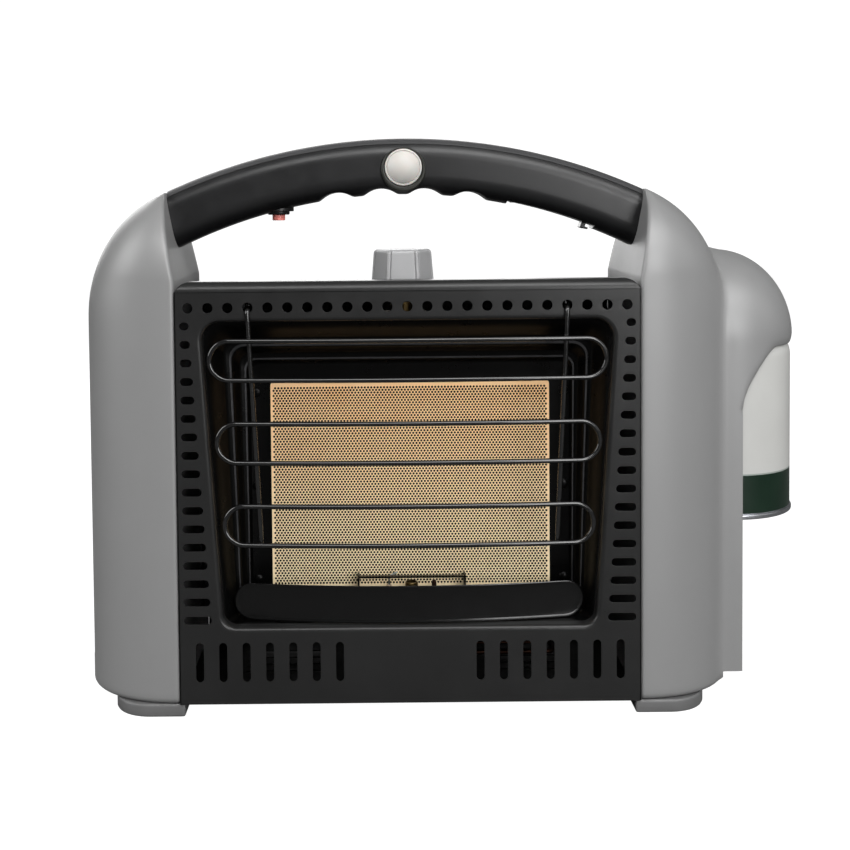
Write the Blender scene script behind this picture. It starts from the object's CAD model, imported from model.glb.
"""Cartridge gas heater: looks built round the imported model, for Blender 4.5. Lengths in mm are in the model's
own axes: x from the middle of the front frame, y back from its face, z up from the floor."""

import math

import bmesh
import bpy
import numpy as np
from mathutils import Matrix, Vector
from mathutils.bvhtree import BVHTree


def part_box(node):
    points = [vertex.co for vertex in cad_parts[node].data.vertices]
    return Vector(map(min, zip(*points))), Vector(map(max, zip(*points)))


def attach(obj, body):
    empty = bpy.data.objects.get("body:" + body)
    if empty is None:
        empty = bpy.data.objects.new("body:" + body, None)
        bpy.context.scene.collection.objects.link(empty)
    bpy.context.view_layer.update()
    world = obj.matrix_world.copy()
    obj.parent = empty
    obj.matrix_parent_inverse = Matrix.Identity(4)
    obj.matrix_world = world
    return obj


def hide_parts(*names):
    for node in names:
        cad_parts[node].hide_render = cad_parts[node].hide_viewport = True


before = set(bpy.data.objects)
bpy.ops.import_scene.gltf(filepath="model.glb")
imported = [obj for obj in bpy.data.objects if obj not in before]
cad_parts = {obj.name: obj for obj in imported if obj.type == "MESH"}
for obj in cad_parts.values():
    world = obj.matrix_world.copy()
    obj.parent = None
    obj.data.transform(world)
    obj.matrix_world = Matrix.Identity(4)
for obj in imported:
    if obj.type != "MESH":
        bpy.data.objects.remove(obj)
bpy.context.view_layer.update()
LOW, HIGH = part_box("front_frame")
ORIGIN = np.array([(LOW.x + HIGH.x) / 2, LOW.y, 0.0])
MM = 0.001
HEATER, KNOB, BUTTON, DOOR, CARTRIDGE = "heater", "knob", "light_button", "battery_door", "cartridge"


def row(points):
    """Model millimetres to row metres."""
    return np.array(points, float).reshape(-1, 3) * MM + ORIGIN


def mm_box(node):
    """A CAD node's lowest and highest corner in model millimetres."""
    lo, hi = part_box(node)
    return (np.array(lo) - ORIGIN) / MM, (np.array(hi) - ORIGIN) / MM


# Materials


def linear(r, g, b):
    """sRGB 0..255 to linear."""
    return tuple(
        (v / 255 / 12.92) if v / 255 <= 0.04045 else ((v / 255 + 0.055) / 1.055) ** 2.4
        for v in (r, g, b)
    ) + (1.0,)


class Nodes:
    """A node material and short ways to add to it. Patterns use the piece's own coordinates."""

    def __init__(self, name):
        self.mat = bpy.data.materials.new(name)
        self.mat.use_nodes = True
        self.tree = self.mat.node_tree
        self.bsdf = self.tree.nodes["Principled BSDF"]
        self.coord = self.tree.nodes.new("ShaderNodeTexCoord").outputs["Object"]

    def feed(self, socket, value):
        """Sets a socket to a number or a colour, or links another node's output to it."""
        if isinstance(value, (int, float, tuple)):
            socket.default_value = value
        else:
            self.tree.links.new(value, socket)

    def set(self, **values):
        """Feeds the surface's own inputs by name."""
        for key, value in values.items():
            self.feed(self.bsdf.inputs[key.replace("_", " ")], value)

    def node(self, kind, **values):
        """A new shader node with its inputs fed by name."""
        made = self.tree.nodes.new("ShaderNode" + kind)
        for key, value in values.items():
            self.feed(made.inputs[key.replace("_", " ")], value)
        return made

    def noise(self, scale, detail=3.0, rough=0.5, stretch=None):
        """A noise pattern, stretched along the axes or plain."""
        source = self.coord
        if stretch:
            source = self.node("Mapping", Vector=source, Scale=stretch).outputs["Vector"]
        made = self.node("TexNoise", Vector=source, Scale=scale, Detail=detail, Roughness=rough)
        return made.outputs["Fac"]

    def axis(self, name):
        """One of the piece's own coordinates."""
        return self.node("SeparateXYZ", Vector=self.coord).outputs[name]

    def ranged(self, value, a, b, c, d, smooth=False):
        """Takes the range from a to b to the range from c to d."""
        made = self.node("MapRange", Value=value, From_Min=a, From_Max=b, To_Min=c, To_Max=d)
        made.interpolation_type = "SMOOTHSTEP" if smooth else "LINEAR"
        return made.outputs["Result"]

    def math(self, kind, *values):
        made = self.node("Math")
        made.operation = kind
        for socket, value in zip(made.inputs, values):
            self.feed(socket, value)
        return made.outputs[0]

    def mix(self, share, a, b):
        """One colour to the other by share."""
        made = self.node("Mix")
        made.data_type = "RGBA"
        for number, value in ((0, share), (6, a), (7, b)):
            self.feed(made.inputs[number], value)
        return made.outputs[2]

    def bump(self, height, distance):
        made = self.node("Bump", Height=height, Distance=distance * MM, Strength=1.0)
        self.set(Normal=made.outputs["Normal"])


def shade(colour, factor):
    """A colour made lighter or darker by a factor."""
    return tuple(min(1.0, c * factor) for c in colour[:3]) + (1.0,)


DRIFT_LOW, DRIFT_HIGH = 0.3, 0.7


def drift(n, colours, scale, detail=4.0, rough=0.6):
    """Wanders slowly between two colours."""
    return n.mix(n.ranged(n.noise(scale, detail, rough), DRIFT_LOW, DRIFT_HIGH, 0.0, 1.0), *colours)


def surface(name, colour, rough, metallic=0.0, mottle=0.08, mottle_scale=35.0, rough_by=0.05,
            grain=0.01, grain_scale=1600.0, ior=1.5, coat=0.0):
    """A plain finish with slow colour drift, uneven gloss and a fine grain."""
    n = Nodes(name)
    n.set(Metallic=metallic, IOR=ior, Coat_Weight=coat, Coat_Roughness=0.08)
    tones = shade(colour, 1 - mottle), shade(colour, 1 + mottle)
    gloss = n.ranged(n.noise(mottle_scale * 3, 5.0, 0.6), 0.25, 0.75, rough - rough_by, rough + rough_by)
    n.set(Base_Color=drift(n, tones, mottle_scale, 4.0, 0.55), Roughness=gloss)
    n.bump(n.noise(grain_scale, 2.0), grain)
    return n


def brushed(name, colour, rough, along=(1, 1, 30), spread=0.12, scale=500.0):
    """Drawn or turned metal with fine lines; along stretches the pattern across the lines."""
    n = Nodes(name)
    lines = n.noise(scale, 3.0, 0.6, stretch=along)
    across = n.ranged(lines, DRIFT_LOW, DRIFT_HIGH, 0.0, 1.0)
    tone = n.mix(across, shade(colour, 1 - spread), shade(colour, 1 + spread))
    tone = n.mix(n.ranged(n.noise(40.0, 4.0, 0.6), 0.35, 0.75, 0.0, 0.35), tone, shade(colour, 0.72))
    n.set(Metallic=1.0, Base_Color=tone, Roughness=n.ranged(lines, 0.2, 0.8, rough - 0.08, rough + 0.1))
    n.bump(lines, 0.006)
    return n


def lens_plastic():
    """Milky plastic that lets some light through."""
    n = surface("lens_plastic", linear(206, 202, 197), 0.42, mottle=0.02, mottle_scale=90.0, rough_by=0.03,
                grain=0.006)
    n.set(Subsurface_Weight=0.12, Subsurface_Scale=0.004)
    return n


def plaque_ceramic(name, light):
    """Fired clay, pinker towards the top. light scales its tone, down to the dark of the pits."""
    n = Nodes(name)
    colours = (255, 236, 196), (255, 206, 152), (255, 226, 182)
    yellow, pink, pale = (shade(linear(*colour), light) for colour in colours)
    tone = n.mix(n.ranged(n.axis("Z"), 0.07, 0.2, 0.0, 1.0, smooth=True), yellow, pink)
    tone = n.mix(n.ranged(n.noise(38.0, 4.0, 0.6), DRIFT_LOW, 0.72, 0.0, 0.5), tone, pale)
    rough = n.ranged(n.noise(300.0), DRIFT_LOW, DRIFT_HIGH, 0.82, 0.95)
    n.set(IOR=1.3, Specular_IOR_Level=0.5 if light > 0.5 else 0.0, Base_Color=tone, Roughness=rough)
    n.bump(n.noise(2600.0), 0.05)
    return n


def can_paint():
    """White lacquer with a dark green band at the foot and bare steel on the shoulder."""
    band_h, line_h, paint_h, rim_h = 24.6, 0.9, 108.0, 0.7
    foot = mm_box("cartridge_can")[0][2]
    n = Nodes("can_paint")
    z = n.axis("Z")

    def above(h):
        return n.math("GREATER_THAN", z, (foot + h) * MM)

    def below(h):
        return n.math("LESS_THAN", z, (foot + h) * MM)

    white = drift(n, (linear(192, 192, 189), linear(197, 197, 194)), 26.0)
    green = drift(n, (linear(10, 33, 21), linear(14, 38, 25)), 60.0)
    line = n.math("MULTIPLY", above(band_h), below(band_h + line_h))
    steel = n.math("MAXIMUM", above(paint_h), below(rim_h))
    tone = n.mix(above(band_h), green, white)
    tone = n.mix(steel, n.mix(line, tone, linear(150, 158, 152)), linear(186, 188, 191))
    rough = n.ranged(n.noise(60.0), DRIFT_LOW, DRIFT_HIGH, 0.3, 0.38)
    n.set(IOR=1.45, Base_Color=tone, Metallic=steel, Roughness=rough)
    n.bump(n.noise(300.0, 2.0), 0.004)
    return n


def battery_label():
    """A dark sleeve with a copper-coloured end."""
    dark_past_middle = 9.0
    low, high = mm_box("batteries")
    n = Nodes("battery_label")
    split = ((low[0] + high[0]) / 2 + dark_past_middle) * MM + float(ORIGIN[0])
    dark = n.mix(n.noise(90.0), linear(30, 31, 33), linear(44, 45, 48))
    tone = n.mix(n.math("GREATER_THAN", n.axis("X"), split), dark, linear(178, 112, 58))
    rough = n.ranged(n.noise(220.0), DRIFT_LOW, DRIFT_HIGH, 0.22, 0.34)
    n.set(Coat_Weight=0.4, Coat_Roughness=0.1, Metallic=0.2, Base_Color=tone, Roughness=rough)
    n.bump(n.noise(900.0, 2.0), 0.008)
    return n


# Key: name, colour, roughness, metallic, colour drift, its scale, gloss drift, grain in mm, its scale, IOR
PLAIN = {
    "panel": ("panel_plastic", (146, 146, 146), 0.44, 0.2, 0.02, 18.0, 0.03, 0.012, 2200.0),
    "knob": ("knob_plastic", (166, 166, 167), 0.46, 0.15, 0.03, 60.0, 0.05, 0.01, 2500.0),
    "foot": ("foot_plastic", (112, 112, 112), 0.5, 0.2, 0.05, 35.0, 0.05, 0.02, 1500.0),
    "frame": ("black_enamel", (32, 32, 32), 0.32, 0.0, 0.1, 25.0, 0.05, 0.02, 900.0, 1.45),
    "gloss": ("gloss_enamel", (4, 4, 4), 0.2, 0.0, 0.12, 30.0, 0.05, 0.012, 420.0),
    "inner": ("matte_enamel", (5, 5, 5), 0.75, 0.0, 0.08, 35.0, 0.05, 0.02, 900.0, 1.3),
    "ridge": ("reflector_ridges", (80, 80, 82), 0.22, 0.6, 0.2, 60.0),
    "mirror": ("reflector_enamel", (4, 4, 4), 0.3, 0.0, 0.12, 30.0, 0.05, 0.012, 420.0, 1.22),
    "wire": ("guard_enamel", (13, 13, 13), 0.15, 0.0, 0.15, 70.0, 0.05, 0.008, 900.0, 1.7),
    "handle": ("black_plastic", (21, 21, 22), 0.36, 0.0, 0.06, 30.0, 0.05, 0.03, 1400.0),
    "strip": ("black_plastic_satin", (64, 64, 65), 0.5, 0.0, 0.06, 30.0, 0.05, 0.03, 1400.0),
    "dark": ("dark_plastic", (36, 37, 32), 0.4, 0.0, 0.08, 60.0, 0.05, 0.02),
    "alloy": ("cast_alloy", (168, 170, 173), 0.42, 0.85, 0.08, 80.0, 0.05, 0.06, 700.0),
    "rubber": ("seal_rubber", (24, 24, 25), 0.7, 0.0, 0.08, 35.0, 0.05, 0.02),
    "red": ("red_plastic", (255, 144, 134), 0.34, 0.0, 0.05, 35.0, 0.05, 0.008),
    "insulation": ("lead_insulation", (44, 44, 46), 0.5),
    "gasket": ("gasket_fibre", (226, 222, 210), 0.9, 0.0, 0.08, 200.0, 0.05, 0.15, 900.0),
    "board": ("circuit_board", (46, 98, 64), 0.4, 0.0, 0.1, 300.0, 0.05, 0.02),
}


def build_materials():
    """Every material by its key."""
    made = {key: surface(name, linear(*colour), *values) for key, (name, colour, *values) in PLAIN.items()}
    made["steel"] = brushed("bright_steel", linear(190, 192, 196), 0.3)
    made["zinc"] = brushed("zinc_sheet", linear(92, 94, 98), 0.45, along=(30, 1, 1), spread=0.08)
    made["brass"] = brushed("jet_brass", linear(112, 94, 60), 0.38, spread=0.1)
    made["copper"] = brushed("pipe_copper", linear(66, 46, 38), 0.45, scale=300.0)
    made["lens"] = lens_plastic()
    made["plaque"] = plaque_ceramic("plaque_ceramic", 1.0)
    made["plaque_deep"] = plaque_ceramic("plaque_pores", 0.015)
    made["can"] = can_paint()
    made["battery"] = battery_label()
    made["white_ceramic"] = surface("electrode_ceramic", linear(206, 182, 152), 0.4, mottle=0.04, coat=0.3)
    return made


# Camera, lights and floor


def place_object(name, data, where=(0, 0, 0)):
    """A new object in the scene."""
    obj = bpy.data.objects.new(name, data)
    bpy.context.scene.collection.objects.link(obj)
    obj.location = where
    return obj


def make_camera():
    """The photograph's own view: square on, a little left of the frame's middle and looking slightly down."""
    size, focal = 850.0, 1250.0
    axis_px, axis_py = 379.75, 255.0
    pitch, roll = 0.041, 0.0095
    data = bpy.data.cameras.new("camera")
    data.sensor_width = 36.0
    data.lens = focal * data.sensor_width / size
    data.shift_x = (size / 2 - axis_px) / size
    data.shift_y = (axis_py - size / 2) / size
    data.clip_start, data.clip_end = 0.01, 100.0
    cam = place_object("camera", data)
    turn = Matrix.Rotation(math.pi / 2 - pitch, 4, "X") @ Matrix.Rotation(-roll, 4, "Z")
    cam.matrix_world = Matrix.Translation(Vector(row([-16.1, -741.65, 308.67])[0])) @ turn
    bpy.context.scene.camera = cam


# Name, place, target, size and power
LIGHTS = (
    ("key", (0.35, -1.3, 1.6), (0.05, 0.0, 0.22), (2.4, 0.6), 27.0),
    ("between", (0.12, -0.42, 0.95), (-0.14, 0.0, 0.28), (0.3, 0.3), 0.8),
    ("front", (0.75, -1.7, 0.6), (0.05, 0.0, 0.2), (0.7, 0.9), 15.0),
    ("side", (1.7, -0.5, 0.9), (0.0, 0.0, 0.25), (0.9, 0.9), 2.0),
    ("fill", (-1.9, -0.5, 1.0), (-0.05, 0.0, 0.2), (1.0, 1.3), 17.0),
    ("rear", (-0.5, 1.7, 0.9), (0.0, 0.0, 0.2), (1.8, 1.2), 22.0),
)
WHITE = (1.0, 1.0, 1.0, 1.0)


def make_lights():
    """Soft lights round the heater, a weak broad one from above and an even surround."""
    for name, place, target, (wide, high), power in LIGHTS:
        data = bpy.data.lights.new(name, "AREA")
        data.shape = "RECTANGLE"
        data.size, data.size_y = wide, high
        data.energy = power
        lamp = place_object(name, data, place)
        lamp.rotation_euler = (Vector(target) - Vector(place)).to_track_quat("-Z", "Y").to_euler()
    data = bpy.data.lights.new("overhead", "SUN")
    data.energy, data.angle = 0.15, math.radians(70)
    place_object("overhead", data).rotation_euler = (math.radians(12), math.radians(8), 0)
    world = bpy.data.worlds.new("studio")
    world.use_nodes = True
    around = world.node_tree.nodes["Background"]
    around.inputs["Color"].default_value = WHITE
    around.inputs["Strength"].default_value = 0.14
    bpy.context.scene.world = world
    bpy.context.scene.view_settings.view_transform = "Standard"


def make_floor():
    """A floor that looks white to the camera and reflects little light. Under the heater it is dark."""
    reach, grey, shadow, soft = 5.5, 0.14, 0.004, 0.01
    shade_x, shade_y, shade_mid = 0.15, 0.04, 0.025
    mesh = bpy.data.meshes.new("floor")
    mesh.from_pydata([(-reach, -reach, 0), (reach, -reach, 0), (reach, reach, 0), (-reach, reach, 0)], [],
                     [(0, 1, 2, 3)])
    pale = surface("floor_pale", (grey, grey, grey, 1.0), 0.9, mottle_scale=2.0, rough_by=0.02, grain=0.0)
    over_x = pale.math("SUBTRACT", pale.math("ABSOLUTE", pale.axis("X")), shade_x)
    from_mid = pale.math("ABSOLUTE", pale.math("SUBTRACT", pale.axis("Y"), shade_mid))
    over_y = pale.math("SUBTRACT", from_mid, shade_y)
    clear = pale.ranged(pale.math("MAXIMUM", over_x, over_y), 0.0, soft, 0.0, 1.0, smooth=True)
    seen = pale.node("LightPath").outputs["Is Camera Ray"]
    pale.set(Base_Color=pale.mix(clear, (shadow, shadow, shadow, 1.0), (grey, grey, grey, 1.0)),
             Emission_Color=WHITE, Emission_Strength=pale.math("MULTIPLY", clear, seen))
    mesh.materials.append(pale.mat)
    return place_object("floor", mesh)


def make_backdrop():
    """A white surround that only the camera sees."""
    mesh = bpy.data.meshes.new("backdrop")
    bm = bmesh.new()
    bmesh.ops.create_icosphere(bm, subdivisions=4, radius=5.4)
    bm.to_mesh(mesh)
    bm.free()
    glow = bpy.data.materials.new("backdrop_white")
    glow.use_nodes = True
    tree = glow.node_tree
    tree.nodes.clear()
    out = tree.nodes.new("ShaderNodeOutputMaterial")
    light = tree.nodes.new("ShaderNodeEmission")
    light.inputs["Color"].default_value = WHITE
    light.inputs["Strength"].default_value = 1.1
    tree.links.new(light.outputs[0], out.inputs["Surface"])
    mesh.materials.append(glow)
    dome = place_object("backdrop", mesh)
    for name in ("diffuse", "glossy", "transmission", "shadow", "volume_scatter"):
        setattr(dome, "visible_" + name, False)
    return dome


# Mesh tools


class Shape:
    """Points in model mm, and faces with a material number each."""

    def __init__(self):
        self.points, self.faces, self.tags = [], [], []

    def add(self, grid, tag=0, turn=None, move=(0, 0, 0)):
        """Adds points and faces, turned and then moved."""
        points, faces = grid
        points = np.asarray(points, float).reshape(-1, 3)
        if turn is not None:
            points = points @ np.array(turn).T
        points = points + np.asarray(move, float)
        base = len(self.points)
        self.points.extend(points.tolist())
        self.faces.extend(tuple(base + i for i in f) for f in faces)
        self.tags.extend([tag] * len(faces))
        return self


def grid(rows, closed=False, looped=False, caps=False):
    """Faces over rows of points. closed joins each row's ends, looped joins the last row to the first."""
    rows = np.asarray(rows, float)
    m, n = rows.shape[:2]
    faces = []
    for i in range(m if looped else m - 1):
        k = (i + 1) % m
        for j in range(n if closed else n - 1):
            q = (j + 1) % n
            faces.append((i * n + j, i * n + q, k * n + q, k * n + j))
    if caps:
        faces.append(tuple(range(n - 1, -1, -1)))
        faces.append(tuple((m - 1) * n + j for j in range(n)))
    return rows.reshape(-1, 3), faces


def corner_at(c, a, b):
    """The directions from a corner to its two neighbours, and half the angle between them."""
    u, v = (a - c) / np.linalg.norm(a - c), (b - c) / np.linalg.norm(b - c)
    return u, v, math.acos(max(-1.0, min(1.0, float(u @ v)))) / 2


def fillet(points, radii, steps=6):
    """A closed 2D line whose corners are rounded by these radii."""
    pts = [np.array(p, float) for p in points]
    n = len(pts)
    if isinstance(radii, (int, float)):
        radii = [radii] * n
    out = []
    for i in range(n):
        r = radii[i]
        if r <= 0:
            out.append(pts[i])
            continue
        c = pts[i]
        u, v, half = corner_at(c, pts[i - 1], pts[(i + 1) % n])
        if abs(half - math.pi / 2) < 1e-4:
            out.append(c)
            continue
        reach = r / math.tan(half)
        centre = c + (u + v) / np.linalg.norm(u + v) * r / math.sin(half)
        p, q = c + u * reach - centre, c + v * reach - centre
        a0 = math.atan2(p[1], p[0])
        a1 = math.atan2(q[1], q[0])
        while a1 - a0 > math.pi:
            a1 -= 2 * math.pi
        while a1 - a0 < -math.pi:
            a1 += 2 * math.pi
        for k in range(steps + 1):
            t = a0 + (a1 - a0) * k / steps
            out.append(centre + r * np.array([math.cos(t), math.sin(t)]))
    return np.array(out)


def turned(profile, centre, axis="z", steps=64, ring=False):
    """(Radius, height) points turned about an axis through centre. ring joins the profile's ends."""
    order = {"z": (0, 1, 2), "y": (0, 2, 1), "x": (2, 0, 1)}[axis]
    r, h = np.asarray(profile, float).T
    rows = []
    for t in (2 * math.pi * k / steps for k in range(steps)):
        line = (r * math.cos(t), r * math.sin(t), h)
        rows.append(np.stack([line[k] for k in order], 1) + np.asarray(centre, float))
    return grid(rows, closed=ring, looped=True)


def frames(path, closed, up=(0.0, 0.0, 1.0)):
    """A tangent and two square directions at each point of a path, carried along without twist."""
    path = np.asarray(path, float)
    n = len(path)
    tangents = []
    for i in range(n):
        a = path[(i - 1) % n] if closed or i > 0 else path[i]
        b = path[(i + 1) % n] if closed or i < n - 1 else path[i]
        tangents.append((b - a) / np.linalg.norm(b - a))
    side = np.cross(up, tangents[0])
    if np.linalg.norm(side) < 1e-3:
        side = np.cross((0.0, 1.0, 0.0), tangents[0])
    side /= np.linalg.norm(side)
    out = []
    for t in tangents:
        side = side - t * (side @ t)
        side /= np.linalg.norm(side)
        out.append((t, side, np.cross(t, side)))
    return out


def tube(path, radius, sides=16, closed=False, up=(0.0, 0.0, 1.0)):
    """A round tube along a path. radius is one number or one for each point."""
    path = np.asarray(path, float)
    radii = np.broadcast_to(radius, (len(path),))
    rows = []
    for p, r, (_, u, v) in zip(path, radii, frames(path, closed, up)):
        ring = [p + r * (math.cos(a) * u + math.sin(a) * v)
                for a in (2 * math.pi * k / sides for k in range(sides))]
        rows.append(ring)
    return grid(rows, closed=True, looped=closed, caps=not closed)


def bend(points, radii, steps=8):
    """A 3D route of straight runs with rounded bends."""
    pts = [np.array(p, float) for p in points]
    if isinstance(radii, (int, float)):
        radii = [radii] * len(pts)
    out = [pts[0]]
    for i in range(1, len(pts) - 1):
        c, a, b = pts[i], pts[i - 1], pts[i + 1]
        u, v, half = corner_at(c, a, b)
        reach = min(radii[i] / math.tan(half), 0.45 * np.linalg.norm(a - c), 0.45 * np.linalg.norm(b - c))
        r = reach * math.tan(half)
        centre = c + (u + v) / np.linalg.norm(u + v) * r / math.sin(half)
        p, q = c + u * reach - centre, c + v * reach - centre
        whole = math.pi - 2 * half
        for k in range(steps + 1):
            t = whole * k / steps
            out.append(centre + (math.sin(whole - t) * p + math.sin(t) * q) / math.sin(whole))
    out.append(pts[-1])
    return np.array(out)


def cut_sheet(loops, thick, edge):
    """A flat sheet from closed outlines and holes, with softened edges, in u, v and w from 0 to thick."""
    curve = bpy.data.curves.new("outline", "CURVE")
    curve.dimensions = "2D"
    curve.fill_mode = "BOTH"
    curve.extrude = thick / 2 - edge
    curve.bevel_depth = edge
    curve.bevel_resolution = 1
    curve.offset = -edge
    for loop in loops:
        spline = curve.splines.new("POLY")
        spline.points.add(len(loop) - 1)
        for point, (u, v) in zip(spline.points, loop):
            point.co = (u, v, 0, 1)
        spline.use_cyclic_u = True
    obj = bpy.data.objects.new("outline", curve)
    bpy.context.scene.collection.objects.link(obj)
    bpy.context.view_layer.update()
    mesh = bpy.data.meshes.new_from_object(obj.evaluated_get(bpy.context.evaluated_depsgraph_get()))
    points = np.array([v.co for v in mesh.vertices], float)
    points[:, 2] += thick / 2
    faces = [tuple(f.vertices) for f in mesh.polygons]
    bpy.data.objects.remove(obj)
    bpy.data.meshes.remove(mesh)
    bpy.data.curves.remove(curve)
    return points, faces


def circle(u, v, r, steps=24):
    """Points round a circle."""
    angles = (2 * math.pi * k / steps for k in range(steps))
    return [(u + r * math.cos(a), v + r * math.sin(a)) for a in angles]


def box_line(u0, v0, u1, v1, radii, steps=6):
    """A rectangle's outline with rounded corners, from its lower left corner round."""
    return fillet([(u0, v0), (u1, v0), (u1, v1), (u0, v1)], radii, steps)


def at_y(line, y):
    """A flat outline stood up at a depth."""
    return [(u, y, v) for u, v in line]


def slot_loop(u, v, w, h, steps=8):
    """A slot with round ends, w wide and h high, round its middle."""
    r = min(w, h) / 2
    reach = max(w, h) / 2 - r
    out = []
    for k in range(2 * (steps + 1)):
        a = math.pi * (k if k <= steps else k - 1) / steps - math.pi / 2
        shift = reach if k <= steps else -reach
        x, y = shift + r * math.cos(a), r * math.sin(a)
        out.append((u + x, v + y) if w >= h else (u - y, v + x))
    return out


FLAT_XZ = ((1, 0, 0), (0, 0, 1), (0, 1, 0))
FLAT_YZ = ((0, 0, 1), (1, 0, 0), (0, 1, 0))


def tidy_mesh(mesh, reach):
    """Joins points that meet and turns all faces outwards."""
    bm = bmesh.new()
    bm.from_mesh(mesh)
    bmesh.ops.remove_doubles(bm, verts=bm.verts, dist=reach)
    bmesh.ops.dissolve_degenerate(bm, dist=1e-7, edges=bm.edges)
    bmesh.ops.recalc_face_normals(bm, faces=bm.faces)
    bm.to_mesh(mesh)
    bm.free()


def as_shape(form):
    """Wraps plain points and faces in a shape."""
    return form if isinstance(form, Shape) else Shape().add(form)


def piece(name, form, mats, replaces, body=HEATER, sharp=32.0, weighted=True, merge=0.001,
          bevel=None, cut=()):
    """Makes the form a named piece that rides on its body and takes its finish from a slot."""
    shape = as_shape(form)
    mesh = bpy.data.meshes.new(name)
    mesh.from_pydata(row(shape.points).tolist(), [], shape.faces)
    for mat in [mats] if isinstance(mats, str) else mats:
        mesh.materials.append(MAT[mat].mat)
    mesh.polygons.foreach_set("material_index", shape.tags)
    tidy_mesh(mesh, merge * MM)
    obj = place_object(name, mesh)
    for cutter in cut:
        carve(obj, as_shape(cutter))
    obj.data.shade_smooth()
    obj.data.set_sharp_from_angle(angle=math.radians(sharp))
    if bevel:
        width, limit = bevel
        mod = obj.modifiers.new("edges", "BEVEL")
        mod.width, mod.segments = width * MM, 3
        mod.limit_method, mod.angle_limit = "ANGLE", math.radians(limit)
        mod.harden_normals = False
    if weighted:
        mod = obj.modifiers.new("shading", "WEIGHTED_NORMAL")
        mod.keep_sharp, mod.weight = True, 60
    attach(obj, body)
    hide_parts(*replaces)
    return obj


def ease(t):
    """A smooth change from 0 to 1."""
    t = np.clip(t, 0.0, 1.0)
    return t * t * (3 - 2 * t)


def skin(outer, inner, there=None, closed=False):
    """Two matching grids of points as one wall. Cells that are False in there become holes."""
    outer, inner = np.asarray(outer, float), np.asarray(inner, float)
    m, n = outer.shape[:2]
    cols = n if closed else n - 1
    there = np.ones((m - 1, cols), bool) if there is None else there
    base = m * n
    faces = []

    def at(i, j):
        return i * n + j % n

    def present(i, j):
        if closed:
            j = j % cols
        return 0 <= i < m - 1 and 0 <= j < cols and there[i, j]

    for i in range(m - 1):
        for j in range(cols):
            if not there[i, j]:
                continue
            a, b, c, d = at(i, j), at(i, j + 1), at(i + 1, j + 1), at(i + 1, j)
            faces.append((a, b, c, d))
            faces.append((base + d, base + c, base + b, base + a))
            for (p, q), (u, v) in (((-1, 0), (a, b)), ((1, 0), (c, d)), ((0, -1), (d, a)), ((0, 1), (b, c))):
                if not present(i + p, j + q):
                    faces.append((v, u, base + u, base + v))
    return np.concatenate([outer.reshape(-1, 3), inner.reshape(-1, 3)]), faces


def carve(obj, cutter):
    """Cuts a closed shape out of a piece's mesh."""
    mesh = bpy.data.meshes.new("cutter")
    mesh.from_pydata(row(cutter.points).tolist(), [], cutter.faces)
    tidy_mesh(mesh, 1e-6)
    knife = place_object("cutter", mesh)
    mod = obj.modifiers.new("cut", "BOOLEAN")
    mod.operation, mod.solver, mod.object = "DIFFERENCE", "EXACT", knife
    bpy.context.view_layer.update()
    carved = bpy.data.meshes.new_from_object(obj.evaluated_get(bpy.context.evaluated_depsgraph_get()))
    obj.modifiers.remove(mod)
    old, obj.data = obj.data, carved
    bpy.data.meshes.remove(old)
    bpy.data.objects.remove(knife)
    bpy.data.meshes.remove(mesh)


def soft_max(a, b, k):
    """The larger of two, with a rounded change from one to the other."""
    h = np.maximum(k - np.abs(a - b), 0.0) / k
    return np.maximum(a, b) + h * h * k / 4


def corner_arc(cx, cy, r, a, b, steps, ry=None):
    """Points along an arc, angles in degrees."""
    return [(cx + r * math.cos(math.radians(t)), cy + (ry or r) * math.sin(math.radians(t)))
            for t in np.linspace(a, b, steps + 1)]


# Casing

FRAME_LOW, FRAME_HIGH = mm_box("front_frame")
FRAME_X = FRAME_HIGH[0]
FOOT_H = FRAME_LOW[2]
FRAME_TOP = FRAME_HIGH[2]
FLANGE_D = FRAME_HIGH[1]
SIDE_X = -mm_box("left_side_panel")[0][0]
BODY_D = mm_box("left_side_panel")[1][1]
BACK_LEAN = 22.0
FACE_LEAN = 0.19
# The handle's arc: its middle across and back, its outer radius, thickness and depth
HANDLE_X, HANDLE_SET, HANDLE_R, HANDLE_T, HANDLE_D = -1.0, 53.0, 361.0, 35.0, 34.0
HANDLE_IN = HANDLE_R - HANDLE_T
HANDLE_TOP = mm_box("handle_top_cover")[1][2]
ARC_Z = HANDLE_TOP - HANDLE_R
SHOULDER_RISE, SHOULDER_W = 82.0, 69.0
EDGE_R, CORNER_R, WALL = 4.0, 2.5, 2.0
RECESS_T, RECESS_LOW, RECESS_HIGH = 1.5, FOOT_H + 17, FRAME_TOP - 10
HOOD_R, DOME_Z, DOME_H = 49.0, 221.5, 55.5
HOOD_X, CAN_Y = 202.1, 75.0
ARCH_TOP, ARCH_RISE, ARCH_ROUND = 217.0, 38.0, 12.0
BAY_LOW = mm_box("cartridge_hood")[0][2]
PLATE_Z = 250.0
SHEET = 0.8


def arc_top(x):
    """The height of the handle's arc over x."""
    return ARC_Z + math.sqrt(HANDLE_R ** 2 - (x - HANDLE_X) ** 2)


def face_x(z):
    """The side panel's inner face: upright beside the frame, leaning outwards above it."""
    return FRAME_X + FACE_LEAN * max(0.0, z - FRAME_TOP)


MEET_X = face_x(arc_top(FRAME_X + 10))
MEET_Z = arc_top(MEET_X)
REST_Z = MEET_Z - SHOULDER_RISE * math.sqrt(1 - ((MEET_X - SIDE_X + SHOULDER_W) / SHOULDER_W) ** 2)
TIP_Z = MEET_Z + 3


def outer_x(z):
    """The side panel's outer face: upright, then falling inwards over the shoulder."""
    fall = math.sqrt(max(0.0, 1 - (max(0.0, z - REST_Z) / SHOULDER_RISE) ** 2))
    return SIDE_X - SHOULDER_W * (1 - fall)


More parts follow.
